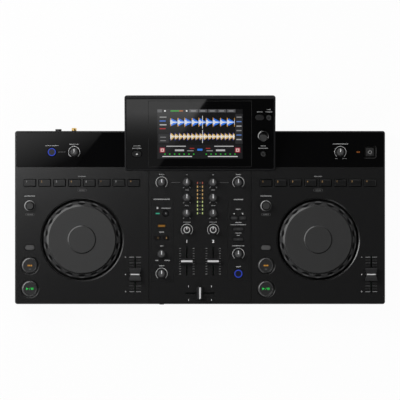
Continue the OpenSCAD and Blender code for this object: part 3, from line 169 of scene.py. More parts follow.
class FinishSettings(bpy.types.PropertyGroup):
    case_black: dark("Case", "Moulded lower case and screen shell", 0.011, 0.001)
    # Darkened, the deck tone is also the painted shade in the deck's recesses and round mouths
    deck_black: dark("Deck", "Matte deck and mixer panels", 0.0108, 0.0002)
    gloss_black: dark("Gloss", "Glossy strip and screen plate", 0.0018, 0.0002)
    jog_grey: dark("Jog top", "Top of the jog wheels", 0.0318)
    # Lightened, the flank tone is also the painted highlight on the lips of the jog dimples
    flank_black: dark("Jog flank", "Dimpled flank of the jog wheels", 0.044, 0.0005)
    # Darkened, the knob tone is also the painted shade at the knobs' foot
    knob_grey: dark("Knobs", "Ribbed knobs", 0.067, 0.001)
    turning_grey: dark("Turning knobs", "Grips of the turning knobs", 0.035)
    key_black: dark("Keys", "Keys and round buttons", 0.0235, 0.0005)
    pill_grey: dark("Shift keys", "Lighter rubber of the shift keys", 0.072)
    button_black: dark("Ring buttons", "Buttons inside a lit ring, and keys with a lit window", 0.004, 0.001)
    # Darkened, the fader cap tone is also the painted shade inside the jog dimples
    cap_black: dark("Fader caps", "Fader caps under their line", 0.0175, 0.001)
    slider_grey: dark("Tempo sliders", "Waisted caps of the tempo sliders", 0.022, 0.0008)
    rubber_black: dark("Feet", "Rubber feet", 0.008)
    print_white: dark("White print", "Labels, scales and pointers", 0.7)
    # The grey print also gives the painted shade round key holes and the pairing button, and the painted
    # highlight at the power key's recess
    print_grey: dark("Grey print", "Dim labels and lines", 0.11)
    amber: colour("Amber", "Amber lights", (0.72, 0.33, 0.035))
    green: colour("Green", "Green lights", (0.02, 0.62, 0.08))
    teal: colour("Teal", "Pairing light", (0.03, 0.30, 0.19))
    blue: colour("Blue", "Blue ring lights", (0.022, 0.055, 0.52))
    red: colour("Red", "Red lights", (0.33, 0.07, 0.05))
    lime: colour("Lime", "Lower lights of the level meter", (0.47, 0.54, 0.22))
    meter_amber: colour("Meter amber", "Upper lights of the level meter", (0.53, 0.315, 0.12))
    power_amber: colour("Power amber", "Light beside the power key", (0.3, 0.09, 0.015))
    gold: colour("Gold", "Plated socket barrels", (0.83, 0.56, 0.20))
    steel: dark("Steel", "Screws, shells, pins and blades", 0.55, 0.01)
    polished: dark("Polished", "Bevels that catch the light", 0.22)
    board_green: colour("Boards", "Circuit boards", (0.012, 0.07, 0.03))
    bush_cream: colour("Bushes", "Plastic bushes of the jog shafts", (0.62, 0.58, 0.48))


class PrintSettings(bpy.types.PropertyGroup):
    letter_height: length("Label height", "Height of a label's strokes", 1.4)
    letter_width: length("Label stroke", "Mean width of one stroke in a label", 0.9)
    letter_gap: length("Label gap", "Gap between the strokes of a label", 0.6)
    line: length("Line", "Width of the scales round level knobs", 0.85)
    ink: length("Ink", "Thickness of the scales round level knobs", 0.08)
    arc_radius: length("Arc radius", "Radius of the scale round a level knob", 10.0)
    pointer: length("Pointer", "Width of the line on a knob", 1.7)
    seed: IntProperty(name="Seed", description="Seed of the label strokes", default=7)


class StageSettings(bpy.types.PropertyGroup):
    photo_width: length("View width", "Width of the deck plane that the picture shows", 702.6)
    view_y: length("View middle", "Middle of the picture behind the object's middle", 0.53)
    lens: FloatProperty(name="Lens", description="Focal length in millimetres", default=600, min=50)
    key_power: power("Key", "Power of the lamp at the rear left", 15.5)
    fill_power: power("Fill", "Power of the lamp at the right", 8)
    front_power: power("Front", "Power of the lamp in front", 11)
    floor_grey: dark("Floor", "Pale floor", 0.86)


def finish_settings():
    return bpy.context.scene.dj_finish


def print_settings():
    return bpy.context.scene.dj_print


# Node maths: sockets with Python's operators


class Value:
    """A socket of a node graph. Sums, products and powers of values add their Math nodes."""

    def __init__(self, graph, socket):
        self.graph = graph
        self.socket = socket

    def __add__(self, other):
        return self.graph.maths("ADD", self, other)

    def __sub__(self, other):
        return self.graph.maths("SUBTRACT", self, other)

    def __rsub__(self, other):
        return self.graph.maths("SUBTRACT", other, self)

    def __mul__(self, other):
        return self.graph.maths("MULTIPLY", self, other)

    def __truediv__(self, other):
        return self.graph.maths("DIVIDE", self, other)

    def __pow__(self, other):
        return self.graph.maths("POWER", self, other)

    __radd__ = __add__
    __rmul__ = __mul__


class Graph:
    """A tree of nodes, with one method that adds any node."""

    def __init__(self, tree):
        self.tree = tree

    def feed(self, socket, value):
        if isinstance(value, Value):
            self.tree.links.new(value.socket, socket)
        else:
            socket.default_value = value

    def node(self, kind, settings=None, sockets=None, out=0):
        made = self.tree.nodes.new(kind)
        for key, value in (settings or {}).items():
            setattr(made, key, value)
        for key, value in (sockets or {}).items():
            self.feed(made.inputs[key], value)
        return Value(self, made.outputs[out])

    def maths(self, operation, *values):
        return self.node("ShaderNodeMath", {"operation": operation}, dict(enumerate(values)))


class Paint(Graph):
    """A material on Principled BSDF, or a world on Background."""

    def __init__(self, name, world=None):
        self.owner = world or bpy.data.materials.new(name)
        self.owner.use_nodes = True
        super().__init__(self.owner.node_tree)
        self.shader = self.tree.nodes["Background" if world else "Principled BSDF"]
        self.place = self.node("ShaderNodeTexCoord", out="Generated" if world else "Object")

    def axes(self):
        split = self.node("ShaderNodeSeparateXYZ", sockets={0: self.place})
        return [Value(self, split.socket.node.outputs[i]) for i in range(3)]

    def noise(self, grain, detail=2.0):
        """Noise whose patches are about one grain wide, from 0 to 1."""
        sockets = {"Vector": self.place, "Scale": 1 / grain, "Detail": detail}
        return self.node("ShaderNodeTexNoise", sockets=sockets)

    def step(self, value, start, end, kind="SMOOTHSTEP"):
        """0 below start, 1 above end, smooth between."""
        sockets = {"Value": value, "From Min": start, "From Max": end}
        return self.node("ShaderNodeMapRange", {"interpolation_type": kind}, sockets)

    def past(self, value, edge, soft):
        """0 below an edge and 1 above it, smooth over a little on both sides."""
        return self.step(value, edge - soft, edge + soft)

    def near(self, value, aim, reach):
        """1 where a value is within reach of an aim, or else 0."""
        return self.maths("COMPARE", value, aim, reach)

    def blend(self, share, first, second):
        """A colour between two, by a value from 0 to 1."""
        return self.node("ShaderNodeMix", {"data_type": "RGBA"}, {0: share, 6: first, 7: second}, out=2)

    def varied(self, share, tone, low, high):
        """A tone that goes from a darker to a lighter share of itself."""
        return self.blend(share, shade(tone, low), shade(tone, high))

    def tint(self):
        """The colour that each mark carries."""
        return self.node("ShaderNodeAttribute", {"attribute_name": "tint"})

    def bump(self, height, strength=1.0, distance=1.0):
        sockets = {"Height": height, "Strength": strength, "Distance": distance}
        return self.node("ShaderNodeBump", sockets=sockets)

    def rays(self, *kinds):
        """1 for rays of the given kinds."""
        path = self.node("ShaderNodeLightPath").socket.node.outputs
        return sum(Value(self, path[f"Is {kind} Ray"]) for kind in kinds)

    def surface(self, sockets):
        for key, value in sockets.items():
            self.feed(self.shader.inputs[key], value)
        return self.owner

    def output(self, shader):
        """Puts another shader on the surface."""
        self.feed(self.tree.nodes["Material Output"].inputs["Surface"], shader)
        return self.owner


def shade(tone, share):
    """A colour made darker or lighter, with its alpha."""
    return tuple(min(1.0, part * share) for part in tone[:3]) + (1.0,)


def distance(x, y, centre):
    """Distance from an upright axis."""
    return ((x - centre.x) ** 2.0 + (y - centre.y) ** 2.0) ** 0.5


# Finishes

BLACK = (0, 0, 0, 1)
WHITE = (1, 1, 1, 1)


def moulded_plastic(name, tone, roughness=0.55, grain=0.45 * MM, relief=0.2, skirt=0.0):
    """Moulded plastic: a fine spark-eroded grain, and a slow change of tone where hands and moulds left it.
    Below the height of a skirt it is darker, as painted shade at the foot of the part."""
    paint = Paint(name)
    fine = paint.noise(grain)
    broad = paint.noise(60 * MM)
    body = paint.varied(broad, tone, 0.86, 1.14)
    if skirt:
        # Below the skirt height the colour is darkened as painted shade at the part's foot
        body = paint.blend(paint.past(paint.axes()[2], skirt, 0.3 * MM), shade(tone, 0.3), body)
    return paint.surface({
        "Base Color": body,
        "Roughness": roughness - 0.06 + 0.08 * fine + 0.04 * broad,
        "Specular IOR Level": 0.4,
        "Normal": paint.bump(fine, relief, 0.05 * MM),
    })


def coated_panel(name, tone, polished, wells=(), mouths=()):
    """Deck panels: satin coat over fine speckle. Below the face and inside the round wells the coat is dull
    and its colour is darkened to near black, as painted shade in these recesses; the wells' bevels are
    polished.
    Inside the round mouths the colour is darkened to near black too, as painted shade in the holes, and the
    coat sinks a little towards the mouths. Each well or mouth is a centre and a radius."""
    bevel, bevel_sink = WELL_BEVEL * MM, 0.22 * MM
    lip, lip_fall = 1.5 * MM, 0.45 * MM
    paint = Paint(name)
    x, y, z = paint.axes()
    speckle = paint.noise(0.35 * MM, 3.0)
    cloud = paint.noise(90 * MM)
    # bare marks painted shade: below the face, on the walls of holes, gaps and the outer edge, the colour
    # goes near black and the coat dull
    bare = 1 - paint.step(z, DECK_Z - 0.5 * MM, DECK_Z - 0.1 * MM)
    mouth_shade = polish = 0
    height = 0.006 * MM * speckle
    for centre, reach in wells:
        radius = distance(x, y, centre)
        inside = 1 - paint.past(radius, reach, 0.3 * MM)
        outside = paint.past(radius, reach + bevel, 0.1 * MM)
        # Inside a well the colour is darkened as painted shade
        bare = bare * outside + inside
        polish = polish + (1 - outside) * (1 - inside)
        height = height - bevel_sink * paint.step(radius, reach, reach + bevel)
    for centre, reach in mouths:
        radius = distance(x, y, centre)
        outside = paint.past(radius, reach, 0.1 * MM)
        # Inside a mouth the colour is darkened as painted shade, and the coat there stays glossy
        bare = bare * outside
        mouth_shade = mouth_shade + (1 - outside)
        height = height + lip_fall * paint.step(radius, reach, reach + lip)
    # Painted shade of recesses and mouths: the coat's colour goes to near black there
    coat = paint.blend(bare + mouth_shade, paint.varied(speckle, tone, 0.75, 1.25), shade(tone, 0.06))
    return paint.surface({
        "Base Color": paint.blend(polish, coat, shade(polished, 0.7)),
        "Metallic": polish,
        "Roughness": 0.18 + 0.05 * speckle + 0.03 * cloud + 0.75 * bare,
        "Specular IOR Level": 0.9,
        "Normal": paint.bump(height),
    })


def rimmed_plastic(name, centre, radius, tone, polished):
    """Round button: a dull face inside a polished rim that falls away."""
    edge = 0.85 * radius
    paint = Paint(name)
    x, y, _ = paint.axes()
    away = distance(x, y, centre)
    rim = paint.past(away, edge, 0.01 * radius)
    fall = 0.055 * radius * paint.step(away, edge, 0.98 * radius)
    return paint.surface({
        "Base Color": paint.blend(rim, shade(tone, 0.64), shade(polished, 1.4)),
        "Metallic": rim,
        "Roughness": 0.55 + 0.06 * paint.noise(0.45 * MM) - 0.35 * rim,
        "Specular IOR Level": 0.6,
        "Normal": paint.bump(-1 * fall),
    })


def gloss_plastic(name, tone):
    """Polished black plastic with faint wiping marks and dust."""
    paint = Paint(name)
    smear = paint.step(paint.noise(18 * MM, 5.0), 0.5, 0.8)
    return paint.surface({
        "Base Color": paint.varied(paint.noise(0.5 * MM), tone, 0.8, 1.2),
        "Roughness": 0.02 + 0.03 * smear,
        "Specular IOR Level": 0.4,
    })


def jog_plastic(name, centre, tones):
    """Jog wheel: a matte grey top, polished bevels, and a darker flank with finger dimples. Each dimple is
    painted near black inside as painted shade, with a paler lip on its outer side as a painted highlight."""
    disc, flat, shoulder = 24 * MM, 58.2 * MM, 62.4 * MM
    dimples, dimple_radius, dimple_reach, fullness = 18, 64.1 * MM, 3.6 * MM, 0.3
    paint = Paint(name)
    x, y, _ = paint.axes()
    radius = distance(x, y, centre)
    rim = paint.near(radius, disc, 1.05 * MM)
    bevel = paint.past(radius, flat, 0.2 * MM)
    flank = paint.step(radius, shoulder - 1.2 * MM, shoulder + 0.4 * MM)
    angle = paint.maths("ARCTAN2", y - centre.y, x - centre.x)
    wave = paint.maths("COSINE", dimples * (angle - math.pi / 2))
    away = (radius - dimple_radius) / dimple_reach
    dimple = paint.step(wave + fullness - (1 + fullness) * away ** 2.0, -0.1, 0.4)
    # The outer side of each dimple, where the painted highlight goes
    lip = paint.step(radius, dimple_radius + 0.5 * MM, dimple_radius + 1.3 * MM)
    fine = paint.noise(0.4 * MM)
    top = paint.varied(paint.noise(30 * MM), tones.jog_grey, 0.93, 1.07)
    side = paint.varied(fine, tones.flank_black, 0.8, 1.2)
    # Painted light in the dimples: the inside is painted near black as shade, and the outer lip a paler tone
    # as a highlight
    dimple_shade_and_highlight = paint.blend(lip, shade(tones.cap_black, 0.5), shade(tones.flank_black, 2.3))
    body = paint.blend(dimple, paint.blend(flank, top, side), dimple_shade_and_highlight)
    edge = bevel * (1 - paint.step(radius, shoulder - 1.5 * MM, shoulder)) * (1 - dimple) + rim
    return paint.surface({
        "Base Color": paint.blend(edge, body, shade(tones.polished, 0.75)),
        "Metallic": edge + 0.65 * dimple * (1 - lip),
        "Roughness": 0.5 + 0.06 * fine - 0.32 * bevel - 0.35 * rim + 0.2 * dimple,
        "Specular IOR Level": 0.5,
        "Normal": paint.bump(fine, 0.12, 0.05 * MM),
    })


def turning_plastic(name, centre, tilt, tone, tones):
    """Turning knob: a grey grip on a black skirt with a polished rim. Its axis leans back by a tilt."""
    grip, bevel, gleam = 6.3 * MM, 8.8 * MM, 0.6 * MM
    paint = Paint(name)
    x, y, z = paint.axes()
    along = (y - centre.y) * math.cos(tilt) + (z - centre.z) * math.sin(tilt)
    radius = ((x - centre.x) ** 2.0 + along ** 2.0) ** 0.5
    skirt = paint.past(radius, grip, 0.1 * MM)
    edge = paint.near(radius, bevel, gleam)
    fine = paint.noise(0.5 * MM)
    body = paint.blend(skirt, tone, shade(tones.cap_black, 0.3))
    return paint.surface({
        "Base Color": paint.blend(edge, body, shade(tones.polished, 2.4)),
        "Metallic": 0.85 * skirt + 0.15 * edge,
        "Roughness": 0.5 + 0.06 * fine - 0.3 * skirt,
        "Specular IOR Level": 0.6,
        "Normal": paint.bump(fine, 0.1, 0.05 * MM),
    })


def printed_ink(name):
    """Screen-printed ink in the tint that each mark carries, a little worn."""
    paint = Paint(name)
    wear = paint.noise(0.5 * MM, 3.0)
    return paint.surface({
        "Base Color": paint.blend(0.14 * wear, paint.tint(), BLACK),
        "Roughness": 0.6 + 0.15 * wear,
        "Specular IOR Level": 0.08,
    })


def lit_lens(name, strength=1.0, roughness=0.3):
    """A lit window in the tint that each mark carries."""
    paint = Paint(name)
    cloud = paint.noise(2.0 * MM)
    return paint.surface({
        "Base Color": (0.01, 0.01, 0.01, 1),
        "Roughness": roughness,
        "Emission Color": paint.blend(0.12 * cloud, paint.tint(), BLACK),
        "Emission Strength": strength,
    })


def worn_metal(name, tone, roughness):
    """Plated or turned metal with fine scratches."""
    paint = Paint(name)
    scratch = paint.noise(0.8 * MM, 4.0)
    return paint.surface({
        "Base Color": paint.varied(scratch, tone, 0.85, 1.1),
        "Metallic": 1.0,
        "Roughness": roughness - 0.06 + 0.12 * scratch,
    })


def socket_plastic(name, tone, metal, inserts, tongues):
    """Black sockets whose pins, blades and shells are metal. Each is a box on the rear wall: x, z, width and
    height."""
    paint = Paint(name)
    x, _, z = paint.axes()

    def inside(box):
        left, up, width, height = (part * MM for part in box)
        return paint.near(x, left, width / 2) * paint.near(z, up, height / 2)

    bare = sum(inside(box) for box in inserts)
    for box in tongues:
        bare = bare * (1 - inside(box))
    scratch = paint.noise(0.6 * MM, 3.0)
    return paint.surface({
        "Base Color": paint.blend(bare, shade(tone, 1.0), paint.varied(scratch, metal, 0.85, 1.1)),
        "Metallic": bare,
        "Roughness": 0.42 - 0.2 * bare + 0.1 * scratch,
    })


def circuit_board(name, tone):
    """Solder mask with darker copper runs under it."""
    paint = Paint(name)
    runs = paint.node("ShaderNodeTexBrick", sockets={
        "Vector": paint.place, "Scale": 40.0, "Color1": shade(tone, 1.3), "Color2": shade(tone, 0.9),
        "Mortar": shade(tone, 0.5), "Mortar Size": 0.06,
    })
    return paint.surface({"Base Color": runs, "Roughness": 0.35})


def ink():
    return bpy.data.materials.get("printed_ink") or printed_ink("printed_ink")


def glow():
    return bpy.data.materials.get("lit_lens") or lit_lens("lit_lens")


def dress(material, *names):
    """Gives CAD nodes a finish."""
    for name in names:
        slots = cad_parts[name].data.materials
        slots.clear()
        slots.append(material)


# Geometry Nodes: shapes set on points that carry a size, a turn and a tint


class Tree(Graph):
    """A Geometry Nodes tree with named inputs."""

    def __init__(self, name, *sizes):
        super().__init__(bpy.data.node_groups.new(name, "GeometryNodeTree"))
        kinds = {"Points": "Geometry"} | dict.fromkeys(sizes, "Float") | {"Material": "Material"}
        for label, kind in kinds.items():
            self.tree.interface.new_socket(label, in_out="INPUT", socket_type=f"NodeSocket{kind}")
        self.tree.interface.new_socket("Geometry", in_out="OUTPUT", socket_type="NodeSocketGeometry")
        inputs = self.tree.nodes.new("NodeGroupInput").outputs
        self.given = {label: Value(self, inputs[label]) for label in kinds}
        self.result = self.tree.nodes.new("NodeGroupOutput").inputs[0]

    def oblong(self, width, height):
        sockets = {"Width": self.given[width], "Height": self.given[height]}
        return self.node("GeometryNodeCurvePrimitiveQuadrilateral", sockets=sockets)

    def swept(self, path):
        """A flat band along a path, with the tree's line width and thickness."""
        sockets = {"Curve": path, "Profile Curve": self.oblong("Line", "Thickness"), "Fill Caps": True}
        return self.node("GeometryNodeCurveToMesh", sockets=sockets)

    def carried(self, name):
        """A vector that each point carries."""
        return self.node("GeometryNodeInputNamedAttribute", {"data_type": "FLOAT_VECTOR"}, {"Name": name})

    def set_on_points(self, shape):
        placed = self.node("GeometryNodeInstanceOnPoints", sockets={
            "Points": self.given["Points"],
            "Instance": shape,
            "Rotation": self.node("FunctionNodeEulerToRotation", sockets={0: self.carried("turn")}),
            "Scale": self.carried("size"),
        })
        real = self.node("GeometryNodeRealizeInstances", sockets={0: placed})
        sockets = {"Geometry": real, "Material": self.given["Material"]}
        self.feed(self.result, self.node("GeometryNodeSetMaterial", sockets=sockets))
        return self.tree


def bar_tree(name):
    """Bars: a unit block on each point, drawn out to the point's size."""
    tree = Tree(name)
    return tree.set_on_points(tree.node("GeometryNodeMeshCube", sockets={"Size": (1, 1, 1)}))


def arc_tree(name):
    """Scales: an open band round each point, with its gap towards the front."""
    tree = Tree(name, "Radius", "Sweep", "Line", "Thickness")
    radius, sweep = tree.given["Radius"], tree.given["Sweep"]
    start = math.pi / 2 - 0.5 * sweep
    sockets = {"Resolution": 40, "Radius": radius, "Start Angle": start, "Sweep Angle": sweep}
    return tree.set_on_points(tree.swept(tree.node("GeometryNodeCurveArc", sockets=sockets)))


def ring_tree(name):
    """Rings and sleeves: a closed band round each point."""
    tree = Tree(name, "Radius", "Line", "Thickness")
    sockets = {"Resolution": 48, "Radius": tree.given["Radius"]}
    return tree.set_on_points(tree.swept(tree.node("GeometryNodeCurvePrimitiveCircle", sockets=sockets)))


def pill_tree(name):
    """Pills: a flat block with round ends on each point."""
    tree = Tree(name, "Width", "Depth", "Thickness")
    corner = 0.48 * tree.given["Depth"]
    sockets = {"Curve": tree.oblong("Width", "Depth"), "Count": 6, "Radius": corner, "Limit Radius": True}
    rounded = tree.node("GeometryNodeFilletCurve", {"mode": "POLY"}, sockets)
    face = tree.node("GeometryNodeFillCurve", {"mode": "NGONS"}, {"Curve": rounded})
    sockets = {"Mesh": face, "Offset Scale": tree.given["Thickness"], "Individual": False}
    top = tree.node("GeometryNodeExtrudeMesh", {"mode": "FACES"}, sockets)
    base = tree.node("GeometryNodeFlipFaces", sockets={"Mesh": face})
    join = tree.node("GeometryNodeJoinGeometry")
    for part in (top, base):
        tree.feed(join.socket.node.inputs[0], part)
    return tree.set_on_points(tree.node("GeometryNodeMergeByDistance", sockets={"Geometry": join}))


TREES = {"bars": bar_tree, "arcs": arc_tree, "rings": ring_tree, "pills": pill_tree}


# Marks, and the pieces that they become


def linked(name, data):
    """An object in the scene."""
    made = bpy.data.objects.new(name, data)
    bpy.context.scene.collection.objects.link(made)
    return made


def plain_mesh(source):
    """The evaluated object as a plain mesh."""
    bpy.context.view_layer.update()
    return bpy.data.meshes.new_from_object(source.evaluated_get(bpy.context.evaluated_depsgraph_get()))


def carry(mesh, name, kind, field, rows):
    """Gives each point of a mesh a vector or a colour."""
    layer = mesh.attributes.new(name, kind, "POINT")
    layer.data.foreach_set(field, [part for row in rows for part in row])


def strip_mesh(name, profile, width, thickness):
    """A strip across x whose length follows a profile of (y, z) points, from front to rear."""
    points = [Vector(point) for point in profile]
    corners = []
    for i, point in enumerate(points):
        along = (points[min(i + 1, len(points) - 1)] - points[max(i - 1, 0)]).normalized()
        out = Vector((-along.y, along.x)) * thickness / 2
        upper, lower = point + out, point - out
        corners += [(-width / 2, *upper), (width / 2, *upper), (width / 2, *lower), (-width / 2, *lower)]
    faces = [(0, 3, 2, 1), tuple(range(len(corners) - 4, len(corners)))]
    for start in range(0, len(corners) - 4, 4):
        for i in range(4):
            j = (i + 1) % 4
            faces.append((start + i, start + j, start + 4 + j, start + 4 + i))
    mesh = bpy.data.meshes.new(name)
    mesh.from_pydata(corners, [], faces)
    mesh.transform(Matrix.Scale(MM, 4))
    return mesh


class Sheet:
    """Marks of one material on a mount, in millimetres from the middle of a control and in degrees."""

    def __init__(self, mount, material):
        self.mount = mount
        self.material = material
        self.marks = []

    def move(self, column, row=None):
        """Sets the origin to the middle of a control, or to its column and the row of another."""
        self.x = place(column, self.mount.plane).x
        self.y = place(row or column, self.mount.plane).y
        return self

    def bar(self, x, y, width, depth, tint, turn=0.0, thickness=0.08):
        """A bar with its top a little above the plane."""
        size = (width * MM, depth * MM, thickness * MM)
        self.marks.append(Mark(self.x + x, self.y + y, 0.3 * thickness, size, math.radians(turn), tint))
        return self

    def pair(self, x, y, width, depth, tint, turn=0.0):
        """Two bars, one on each side of the origin."""
        for s in BOTH_WAYS:
            self.bar(s * x, y, width, depth, tint, s * turn)

    def spot(self, tint, turn=0.0):
        """A place for an arc, a ring or a pill."""
        self.marks.append(Mark(self.x, self.y, 0.0, (1.0, 1.0, 1.0), math.radians(turn), tint))
        return self

    def label(self, x, y, width, tint, height=None):
        """A line of plain strokes that stands for a printed label, centred on x and y. Its place seeds its
        strokes, so each label has its own."""
        look = print_settings()
        gap = look.letter_gap / MM
        chance = random.Random(look.seed + round((self.x + x) * 7) + round((self.y + y) * 13))
        strokes = []
        used = 0.0
        while used < width:
            stroke = look.letter_width / MM * chance.uniform(0.6, 1.5)
            strokes.append((used + stroke / 2, stroke))
            used += stroke + gap
        left = x - (used - gap) / 2
        for start, stroke in strokes:
            self.bar(left + start, y, stroke, height or look.letter_height / MM, tint)
        return self

    def pane(self, x, y, width, height, tint, layer=1):
        """A pane of a picture, from its lower left corner. Higher layers stand in front, and one number as
        tint makes a grey."""
        base, rise = 0.04, 0.02
        thickness = base + rise * layer
        size = (width * MM, height * MM, thickness * MM)
        tint = tint if isinstance(tint, tuple) else (tint, tint, tint)
        centre = (self.x + x + width / 2, self.y + y + height / 2, thickness / 2)
        self.marks.append(Mark(*centre, size, 0.0, tint))

    def grow(self, name, shape, **sizes):
        """Sets a tree's shape on the marks and turns the result into a plain mesh."""
        mesh = bpy.data.meshes.new(name)
        mesh.from_pydata([(m.x * MM, m.y * MM, m.z * MM) for m in self.marks], [], [])
        carry(mesh, "size", "FLOAT_VECTOR", "vector", [m.size for m in self.marks])
        carry(mesh, "turn", "FLOAT_VECTOR", "vector", [(0.0, 0.0, m.turn) for m in self.marks])
        carry(mesh, "tint", "FLOAT_COLOR", "color", [shade(m.tint, 1.0) for m in self.marks])
        piece = linked(name, mesh)
        modifier = piece.modifiers.new("Shape", "NODES")
        modifier.node_group = bpy.data.node_groups.get(shape) or TREES[shape](shape)
        inputs = modifier.node_group.interface.items_tree
        sockets = {s.name: s.identifier for s in inputs if s.in_out == "INPUT"}
        modifier[sockets["Material"]] = self.material
        for size, value in sizes.items():
            modifier[sockets[size]] = math.radians(value) if size == "Sweep" else value * MM
        plain = plain_mesh(piece)
        piece.modifiers.remove(modifier)
        plain.transform(self.mount.plane)
        piece.data = plain
        bpy.data.meshes.remove(mesh)
        plain.name = name
        self.ride(piece)

    def ride(self, piece):
        """The piece moves with the mount's body."""
        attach(piece, self.mount.body)

    def solid(self, name, mesh, x, y, tint):
        """Sets a mesh of one tint at a place of the plane, as a piece."""
        carry(mesh, "tint", "FLOAT_COLOR", "color", [shade(tint, 1.0)] * len(mesh.vertices))
        mesh.materials.clear()
        mesh.materials.append(self.material)
        mesh.transform(self.mount.plane @ Matrix.Translation(((self.x + x) * MM, (self.y + y) * MM, 0)))
        self.ride(linked(name, mesh))

    def figures(self, name, text, height, x, y, tint, weight):
        """Plain figures or a plain word, as a thin piece."""
        curve = bpy.data.curves.new(name, "FONT")
        curve.body = text
        curve.size = 1.4 * height * MM
        curve.offset = weight * MM
        curve.align_x = "CENTER"
        curve.align_y = "CENTER"
        curve.extrude = 0.04 * MM
        source = linked(name, curve)
        mesh = plain_mesh(source)
        bpy.data.objects.remove(source)
        self.solid(name, mesh, x, y, tint)


def top_of(node, slot, material, drop=0.0, plane=DECK):
    """A sheet on the top of a control, or a drop below it."""
    height = place(node, plane).z - drop
    return Sheet(Mount(raised(plane, height), node, slot), material).move(node)


class DJ_OT_case(bpy.types.Operator):
    """Finishes of the case, its panels and what is inside it"""

    bl_idname = "dj_system.case"
    bl_label = "Case and panels"

    def execute(self, context):
        tones = finish_settings()
        dress(moulded_plastic("case_plastic", tones.case_black), "bottom_case", "screen_housing")
        wells = [(middle(DECK, f"{side}_jog_wheel"), WELL_RADIUS * MM) for side in DECK_SIDES]
        mouths = [(middle(DECK, node), MOUTH_RADIUS * MM) for node in ROUND_BUTTONS]
        coating = coated_panel("deck_coating", tones.deck_black, tones.polished, wells, mouths)
        dress(coating, "top_panel", "mixer_panel")
        gloss = gloss_plastic("gloss_plastic", tones.gloss_black)
        dress(gloss, "gloss_panel", "screen_bezel", "touch_screen")
        dress(circuit_board("circuit_board", tones.board_green), "control_boards")
        dress(moulded_plastic("bush_plastic", tones.bush_cream, 0.4), "jog_bushes")
        dress(moulded_plastic("foot_rubber", tones.rubber_black, 0.8, 0.8 * MM, 0.4), "rubber_feet")
        dress(worn_metal("screw_steel", tones.steel, 0.3), "case_screws")
        return {"FINISHED"}


class DJ_OT_jog_wheels(bpy.types.Operator):
    """Finish of the two jog wheels"""

    bl_idname = "dj_system.jog_wheels"
    bl_label = "Jog wheels"

    def execute(self, context):
        for side in DECK_SIDES:
            node = f"{side}_jog_wheel"
            dress(jog_plastic(f"{side}_jog_plastic", middle(DECK, node), finish_settings()), node)
        return {"FINISHED"}


class DJ_OT_controls(bpy.types.Operator):
    """Finishes of knobs, keys and faders, with their pointers and lines"""

    bl_idname = "dj_system.controls"
    bl_label = "Knobs, keys and faders"

    def execute(self, context):
        tones = finish_settings()
        self.finishes(tones)
        bright = shade(tones.print_white, 1.35)
        for nodes, start in ((LEVEL_KNOBS, -0.3), (PLAIN_KNOBS, -1.2), (COLOUR_KNOBS, 0.8)):
            for node in nodes:
                self.pointer(node, start, bright)
        for node in COLOUR_KNOBS:
            ring = top_of(node, "knob", ink()).spot(bright)
            ring.grow(f"{node}_ring", "rings", Radius=5.0, Line=0.9, Thickness=0.2)
        for node in FADERS + TEMPO_SLIDERS:
            self.line(node, tones.print_white)
        return {"FINISHED"}

    def finishes(self, tones):
        """Plain finishes by name, tone and roughness, and those that follow a control's own middle."""
        for name, tone, roughness, nodes in (
            ("colour_knob_plastic", tones.cap_black, 0.4, COLOUR_KNOBS),
            ("key_plastic", tones.key_black, 0.5, SMALL_KEYS),
            ("screen_key_plastic", shade(tones.key_black, 0.6), 0.5, SCREEN_KEYS),
            ("ring_button_plastic", tones.button_black, 0.3, RING_BUTTONS + WINDOW_KEYS),
            ("shift_rubber", tones.pill_grey, 0.6, SHIFT_KEYS),
            ("cap_plastic", tones.cap_black, 0.45, FADERS),
            ("slider_plastic", tones.slider_grey, 0.45, TEMPO_SLIDERS),
        ):
            dress(moulded_plastic(name, tone, roughness), *nodes)
        # Below this height the ribbed knobs are darkened as painted shade at their foot
        skirt = DECK_Z + 4 * MM
        ribbed = moulded_plastic("knob_plastic", tones.knob_grey, 0.45, 0.5 * MM, 0.15, skirt)
        dress(ribbed, *LEVEL_KNOBS, *PLAIN_KNOBS)
        dress(coated_panel("hot_key_coating", shade(tones.deck_black, 0.9), tones.polished), *HOT_KEYS)
        for node in ROUND_BUTTONS:
            centre, radius = middle(DECK, node), ROUND_RADIUS * MM
            dress(rimmed_plastic(f"{node}_plastic", centre, radius, tones.key_black, tones.polished), node)
        for node in TURNING_KNOBS:
            plane, tilt, share = (SCREEN, SCREEN_TILT, 1.0) if node == "browse_knob" else (DECK, 0.0, 0.85)
            centre, tone = plane @ middle(plane, node), shade(tones.turning_grey, share)
            dress(turning_plastic(f"{node}_plastic", centre, tilt, tone, tones), node)

    def pointer(self, node, start, tint):
        """White line in the groove of a knob's top and a little way down its rear flank."""
        name = f"{node}_pointer"
        grip = 0.8 * extent(node).x / 2
        groove = 0.4
        profile = [(start, -groove), (grip - 1.6, -groove), (grip - 0.85, -1.1), (grip - 0.45, -5)]
        mesh = strip_mesh(name, profile, print_settings().pointer / MM, 0.12)
        top_of(node, "knob", ink()).solid(name, mesh, 0, 0, tint)

    def line(self, node, tint):
        """White line across a fader's cap, or in the saddle of a tempo slider's."""
        margin, line, saddle = 1.2, 3.2, 3.4
        cap = extent(node)
        sheet = top_of(node, "fader", ink(), saddle if node in TEMPO_SLIDERS else 0.0)
        if node in TEMPO_SLIDERS:
            sheet.bar(0, 0, 15.2, 2.0, tint, thickness=0.6)
        elif node == "crossfader":
            sheet.bar(0, 0, line, cap.y - margin, tint)
        else:
            sheet.bar(0, 0, cap.x - margin, line, tint)
        sheet.grow(f"{node}_line", "bars")


